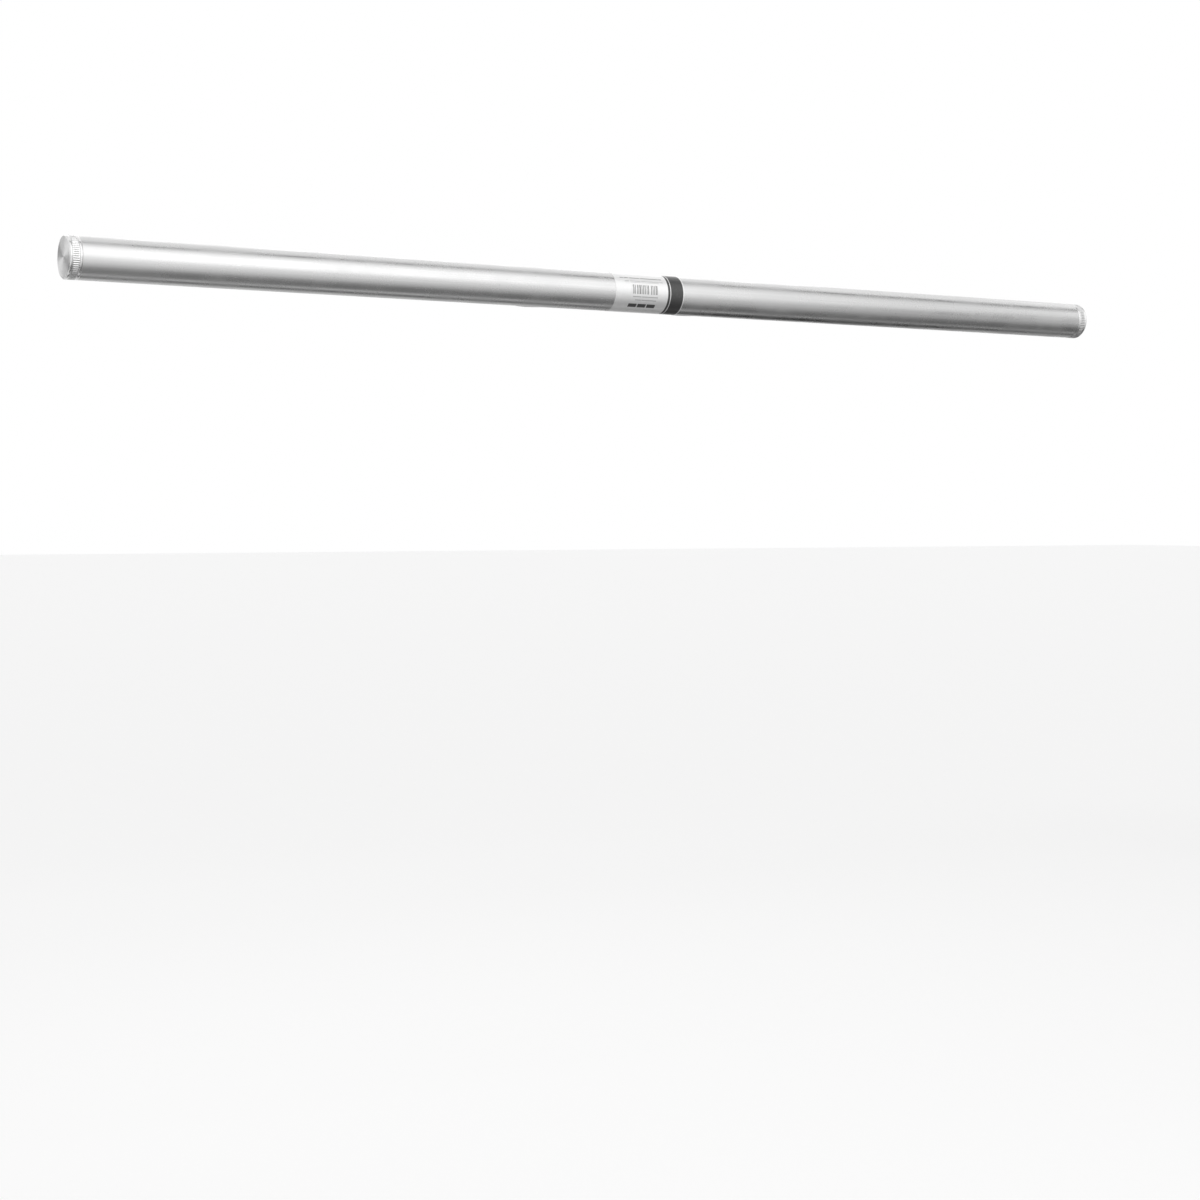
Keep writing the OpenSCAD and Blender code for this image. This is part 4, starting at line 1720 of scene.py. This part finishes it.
@dataclass(frozen=True)
class SaddleFixing(Assembly):
    """What holds a saddle on the tube: bolt, split washer, spacer and the block in the tube.

    Sizes are in millimetres.

    Args:
        head_r: Radius of the bolt's head.
        head_h: Height of the head.
        socket: Width of its hexagon socket.
        socket_depth: Depth of the socket.
        bolt_r: Radius of the shank.
        plain: Length of the shank that has no thread.
        pitch: Pitch of the thread.
        thread_depth: Depth of the thread.
        clearance: Radius of the spacer's hole.
        far: Reach of cutters.
        slit: Width of the split washer's slit.
        coil_edge: Radius of that washer's edges.
        spacer: Half of the spacer's length and of its height.
        block: Half of the nut block's length, its flat side's distance and half of its height.
    """

    head_r: float = 8.75
    head_h: float = 5.5
    socket: float = 6.0
    socket_depth: float = 3.1
    bolt_r: float = 5.0
    plain: float = 4.0
    pitch: float = 1.5
    thread_depth: float = 0.8
    clearance: float = 5.5
    far: float = 60.0
    slit: float = 1.4
    coil_edge: float = 0.25
    spacer: tuple[float, float] = (16.0, 14.0)
    block: tuple[float, float, float] = (15.0, 11.0, 12.0)

    def build(self) -> None:
        """Makes the four pieces."""
        self._bolt()
        self._split_washer()
        self._spacer()
        self._block()

    def _bolt(self) -> None:
        """Turns a domed head and its threaded shank, and sinks the hexagon socket."""
        node, place = self.side.node("mounting_bolt"), bolt_line(self.side)
        size = Gauge.read(node, place)
        top, tip = size.high / MM, size.low / MM
        under, r, collar = top - self.head_h, self.bolt_r - 0.02, 1.0
        end = under - self.plain
        shank = turned((0, tip, 0), (r - 0.9, tip, 0.2), (r, tip + 0.9, 0.3), (r, end, 0), (r, under, 0))
        head = dome(self.head_r, under + collar, self.head_h - collar, 0.72, 14)
        profile = np.vstack([shank, np.vstack([[(self.head_r, under)], head]) * MM])
        profile = refined(profile, tip * MM, end * MM, 0.19 * MM)
        sizes = np.array([tip - 1, end, self.thread_depth, self.bolt_r - 2, self.pitch])
        work = Workpiece(f"{node}_stock", lathe(profile, 72, [Thread(*(sizes * MM))]), place)
        hexagon = arc((0, 0), self.socket / np.sqrt(3), 0, 300, 60) * MM
        work.cut(extruded(hexagon, (top - self.socket_depth) * MM, (top + 1) * MM))
        finish(work.done(), "pole", node, self.finishes.plated, sharp=40)

    def _split_washer(self) -> None:
        """Carries a squared section round the bolt, from one side of the slit to the other."""
        node, place = self.side.node("lock_washer"), bolt_line(self.side)
        size = Gauge.read(node, place)
        section = size.section(*[self.coil_edge * MM] * 4)
        gap = self.slit * MM / (size.inner + size.outer)
        angle = np.linspace(gap, TAU - gap, 90)
        radius, height = section[:, :1], section[:, 1:]
        points = np.stack([radius * np.cos(angle), radius * np.sin(angle), height + 0 * angle], axis=-1)
        shape = woven(points, close_rows=True, close_columns=False)
        first = np.arange(len(section)) * len(angle)
        shape = Shape(shape.points, shape.quads, (first, first[::-1] + len(angle) - 1))
        ring = mesh_object(f"{node}_coil", shape.at(place))
        finish(ring, "pole", node, self.finishes.dark_plated, sharp=50)

    def _bar(self, name: str, radius: float, size: Sequence[float], step: float) -> Workpiece:
        """Blank that is carried along the pole.

        Its outline lies across the pole, in axes whose X points to the clamp and whose Y points
        down: an arc about the pole's axis, closed by a flat side.

        Args:
            name: Name of the piece.
            radius: Radius of the arc, in mm.
            size: Half of its length, the flat side's distance and half of its height, in mm.
            step: Greatest turn of the arc between two points, in degrees.

        Returns:
            The blank.
        """
        half_length, flat, half_height = size
        reach = np.degrees(np.arcsin(half_height / radius))
        side = arc((0, 0), radius, -reach, reach, step)
        outline = np.vstack([side, [(flat, half_height), (flat, -half_height)]])
        place = Placement.facing(bolt_line(self.side).origin, (1, 0, 0), (0, 1, 0))
        return Workpiece(name, extruded(outline * MM, -half_length * MM, half_length * MM), place)

    def _spacer(self) -> None:
        """Carries a block with a hollow foot along the pole and drills it."""
        node = self.side.node("spacer")
        tube = Gauge.read("pole_tube", POLE_AXIS).outer / MM + 0.02
        half_length, half_height = self.spacer
        size = (half_length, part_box(node)[1].y / MM, half_height)
        work = self._bar(f"{node}_block", tube, size, 2).forge(voxel=0.4 * MM, passes=6)
        work.cut(rod(self.clearance * MM, 0, self.far * MM), place=bolt_line(self.side))
        self.hand_in_forging(work, "pole", node)

    def _block(self) -> None:
        """Carries the nut block's outline, round where it meets the tube, and taps it."""
        node = self.side.node("nut_block")
        bore = Gauge.read("pole_tube", POLE_AXIS).inner / MM - 0.02
        work = self._bar(f"{node}_bar", bore, self.block, 5)
        tapped = rod((self.bolt_r + 0.02) * MM, 0, self.far * MM)
        work.cut(tapped, place=bolt_line(self.side)).round_edges(0.4 * MM)
        finish(work.done(), "pole", node, self.finishes.plated, flat=True)


# Studio

@dataclass(frozen=True)
class Lamp:
    """A soft rectangular lamp of a given radiance that looks at the pole.

    Where a card stands for it in reflections, it isn't mirrored itself.
    """

    name: str
    centre: tuple[float, float, float]
    target: tuple[float, float, float]
    size: tuple[float, float]
    radiance: float
    mirrored: bool = True

    def hang(self) -> None:
        """Makes the lamp. Its power is its radiance times pi times its area."""
        data = bpy.data.lights.new(self.name, "AREA")
        data.shape, (data.size, data.size_y) = "RECTANGLE", self.size
        data.energy = self.radiance * np.pi * self.size[0] * self.size[1]
        lamp = bpy.data.objects.new(self.name, data)
        lamp.location = self.centre
        lamp.rotation_euler = (Vector(self.target) - Vector(self.centre)).to_track_quat("-Z", "Y").to_euler()
        lamp.visible_camera = False
        lamp.visible_glossy = self.mirrored
        bpy.context.scene.collection.objects.link(lamp)


@dataclass(frozen=True)
class Flag:
    """A card that only reflections see, as a photographer sets round bright metal.

    Args:
        name: The card's name.
        corner: One of its corners.
        across: Its edge from there.
        up: Direction of its other edge.
        shades: Pairs of a distance along up and the card's radiance there.
        ends: What the radiance is multiplied by at the start and at the end of across.
    """

    name: str
    corner: tuple[float, float, float]
    across: tuple[float, float, float]
    up: tuple[float, float, float]
    shades: tuple[tuple[float, float], ...]
    ends: tuple[float, float] = (1.0, 1.0)

    def hang(self) -> None:
        """Makes the card, whose radiance runs evenly from each of its shades and ends to the next."""
        distance, glow = np.array(self.shades).T
        corner, across, up = (np.array(v, float) for v in (self.corner, self.across, self.up))
        points = corner + np.multiply.outer(distance, up)[:, None, :] + np.array([[0], [1]]) * across
        card = mesh_object(self.name, woven(points, close_columns=False))
        shade = card.data.attributes.new("glow", "FLOAT", "POINT")
        shade.data.foreach_set("value", np.outer(glow, self.ends).ravel().astype(np.float32))
        card.data.materials.append(self._material())
        for ray in ("camera", "diffuse", "transmission", "volume_scatter", "shadow"):
            setattr(card, f"visible_{ray}", False)

    def _material(self) -> bpy.types.Material:
        """Gives light of the strength that the attribute glow holds.

        Returns:
            The card's material.
        """
        material = bpy.data.materials.new(self.name)
        wiring = Wiring(material)
        nodes = wiring.tree.nodes
        nodes.remove(nodes["Principled BSDF"])
        glow = wiring.node("Attribute", attribute_name="glow").outputs["Fac"]
        light = wiring.node("Emission", {"Strength": glow}).outputs[0]
        wiring.tree.links.new(light, nodes["Material Output"].inputs[0])
        return material


@dataclass(frozen=True)
class Studio:
    """White surroundings, a pale floor, soft lamps, and the camera at the photograph's place.

    Args:
        eye: The camera's place.
        yaw: Turn of its view from +Y towards +X, in degrees.
        pitch: Its view above the horizon, in degrees.
        focal: Its focal length in pixels of a 1200-pixel frame.
        floor: Height of the floor.
        floor_half: Half of its width.
        floor_grey: Its colour.
        floor_lift: What is added to it where it is seen or mirrored.
        ambient: Strength of the world's light where it isn't seen.
        lamps: The soft lamps.
        flags: The cards that only reflections see.
    """

    eye: tuple[float, float, float] = (-1.419, -2.3356, -0.2944)
    yaw: float = 30.164
    pitch: float = -2.263
    focal: float = 2070.9
    floor: float = -1.30
    floor_half: float = 55.0
    floor_grey: float = 0.55
    floor_lift: float = 0.52
    ambient: float = 0.62
    lamps: tuple[Lamp, ...] = (
        Lamp("key", (0.1, -1.95, 1.20), (0, 0, 0), (2.3, 1.9), 1.35, mirrored=False),
        Lamp("fill", (0.4, 2.1, 1.3), (0, 0, 0), (3.0, 1.2), 0.5),
    )
    flags: tuple[Flag, ...] = (
        Flag("low_flag", (-1.2, -4.5, -0.85), (5.2, 0, 0), (0, 1, 0), (
            (0.0, 1.0), (1.5, 0.92), (2.9, 0.68), (3.5, 0.50), (3.85, 0.22), (4.3, 0.15), (4.48, 0.18),
            (4.58, 0.62), (4.7, 0.50), (4.8, 0.08), (4.97, 0.08), (5.15, 0.40), (5.55, 0.65), (7.5, 0.75),
        ), ends=(1.20, 0.42)),
        Flag("low_back_flag", (0.66, 0.2, -0.84), (0.84, 0, 0), (0, 1, 0), (
            (0, 0.03), (0.85, 0.03), (1.1, 0.35),
        )),
        Flag("key_card", (-1.05, -2.528, 0.261), (0, 1.076, 1.748), (1, 0, 0), (
            (0, 1.55), (1.0, 1.55), (1.5, 1.48), (1.76, 1.38), (2.0, 1.38), (2.24, 1.28), (2.62, 1.18),
            (2.76, 1.08), (3.05, 0.97), (3.4, 0.93), (3.8, 0.82), (4.3, 0.82),
        )),
        Flag("top_flag", (-1.2, -1.2, 1.9), (5.2, 0, 0), (0, 1, 0), (
            (0, 0.97), (0.36, 0.82), (0.7, 0.55), (0.84, 0.12), (1.06, 0.12), (1.16, 0.9),
        ), ends=(1.43, 0.61)),
        Flag("side_flag", (3.3, -7.0, -1.3), (0, 0, 3.6), (0, 1, 0), (
            (0, 1.05), (1.0, 1.03), (1.9, 1.12), (2.15, 1.10), (2.4, 0.90), (2.9, 0.80), (3.35, 0.88),
            (3.8, 0.55), (4.2, 0.44), (4.8, 0.44), (5.1, 0.9), (9.0, 1.0),
        ), ends=(0.77, 1.27)),
        Flag("left_flag", (-2.0, -0.65, -1.25), (0, 1.45, 0), (0, 0, 1), (
            (0.0, 0.10), (1.4, 0.10), (1.5, 0.60),
        )),
        Flag("back_flag", (-6.0, 2.6, -0.55), (8.0, 0, 0), (0, 0, 1), (
            (0.0, 0.95), (0.25, 0.45), (0.95, 0.42), (1.25, 0.95),
        )),
    )

    def build(self) -> None:
        """Sets everything up."""
        scene = bpy.context.scene
        scene.view_settings.view_transform = "Standard"
        self._camera()
        self._world()
        self._floor()
        for item in (*self.lamps, *self.flags):
            item.hang()

    def _camera(self) -> None:
        """Makes the camera. Its lens is the focal length's share of the frame times the sensor."""
        data = bpy.data.cameras.new("photo_view")
        data.sensor_width = 36.0
        data.lens = self.focal / 1200 * data.sensor_width
        data.clip_start, data.clip_end = 0.05, 150
        camera = bpy.data.objects.new("photo_view", data)
        yaw, pitch = np.radians([self.yaw, self.pitch])
        ahead = Vector((np.sin(yaw) * np.cos(pitch), np.cos(yaw) * np.cos(pitch), np.sin(pitch)))
        camera.location = self.eye
        camera.rotation_euler = ahead.to_track_quat("-Z", "Y").to_euler()
        bpy.context.scene.collection.objects.link(camera)
        bpy.context.scene.camera = camera

    def _world(self) -> None:
        """White where it is seen or mirrored, and a softer light everywhere else."""
        world = bpy.data.worlds.new("surroundings")
        wiring = Wiring(world)
        levels = {"Value": wiring.seen(), "To Min": self.ambient, "To Max": 1.0}
        background = wiring.tree.nodes["Background"].inputs
        background["Color"].default_value = grey(1.0)
        wiring.tree.links.new(wiring.node("MapRange", levels).outputs[0], background["Strength"])
        bpy.context.scene.world = world

    def _floor(self) -> None:
        """A wide pale floor that keeps shadows and is lifted to white where it is seen."""
        edge = np.array([-self.floor_half, self.floor_half])
        x, y = np.meshgrid(edge, edge)
        points = np.stack([x, y, np.full_like(x, self.floor)], axis=-1)
        floor = mesh_object("floor", woven(points, close_columns=False))
        r = Recipe("pale_floor", Base_Color=grey(self.floor_grey), Roughness=0.9, Emission_Color=grey(1.0))
        r.link("Emission Strength", r.times(r.seen(), self.floor_lift))
        floor.data.materials.append(r.material)


def main() -> None:
    """Builds the studio and then each sub-assembly."""
    logging.basicConfig(level=logging.INFO, format="%(name)s: %(message)s")
    Studio().build()
    finishes = Finishes.mixed()
    Pole(finishes).build()
    for side in Side:
        for part in (
            EndCap(side, finishes),
            HalfCoupler(side, finishes),
            Rivet(side, finishes, "hinge_pin", "jaw_hinge"),
            Rivet(side, finishes, "swing_pin", "bolt_swing"),
            SwingBolt(side, finishes),
            SaddleFixing(side, finishes),
        ):
            part.build()
            log.info("%s %s built", side.name.lower(), type(part).__name__)


if __name__ == "__main__":
    main()
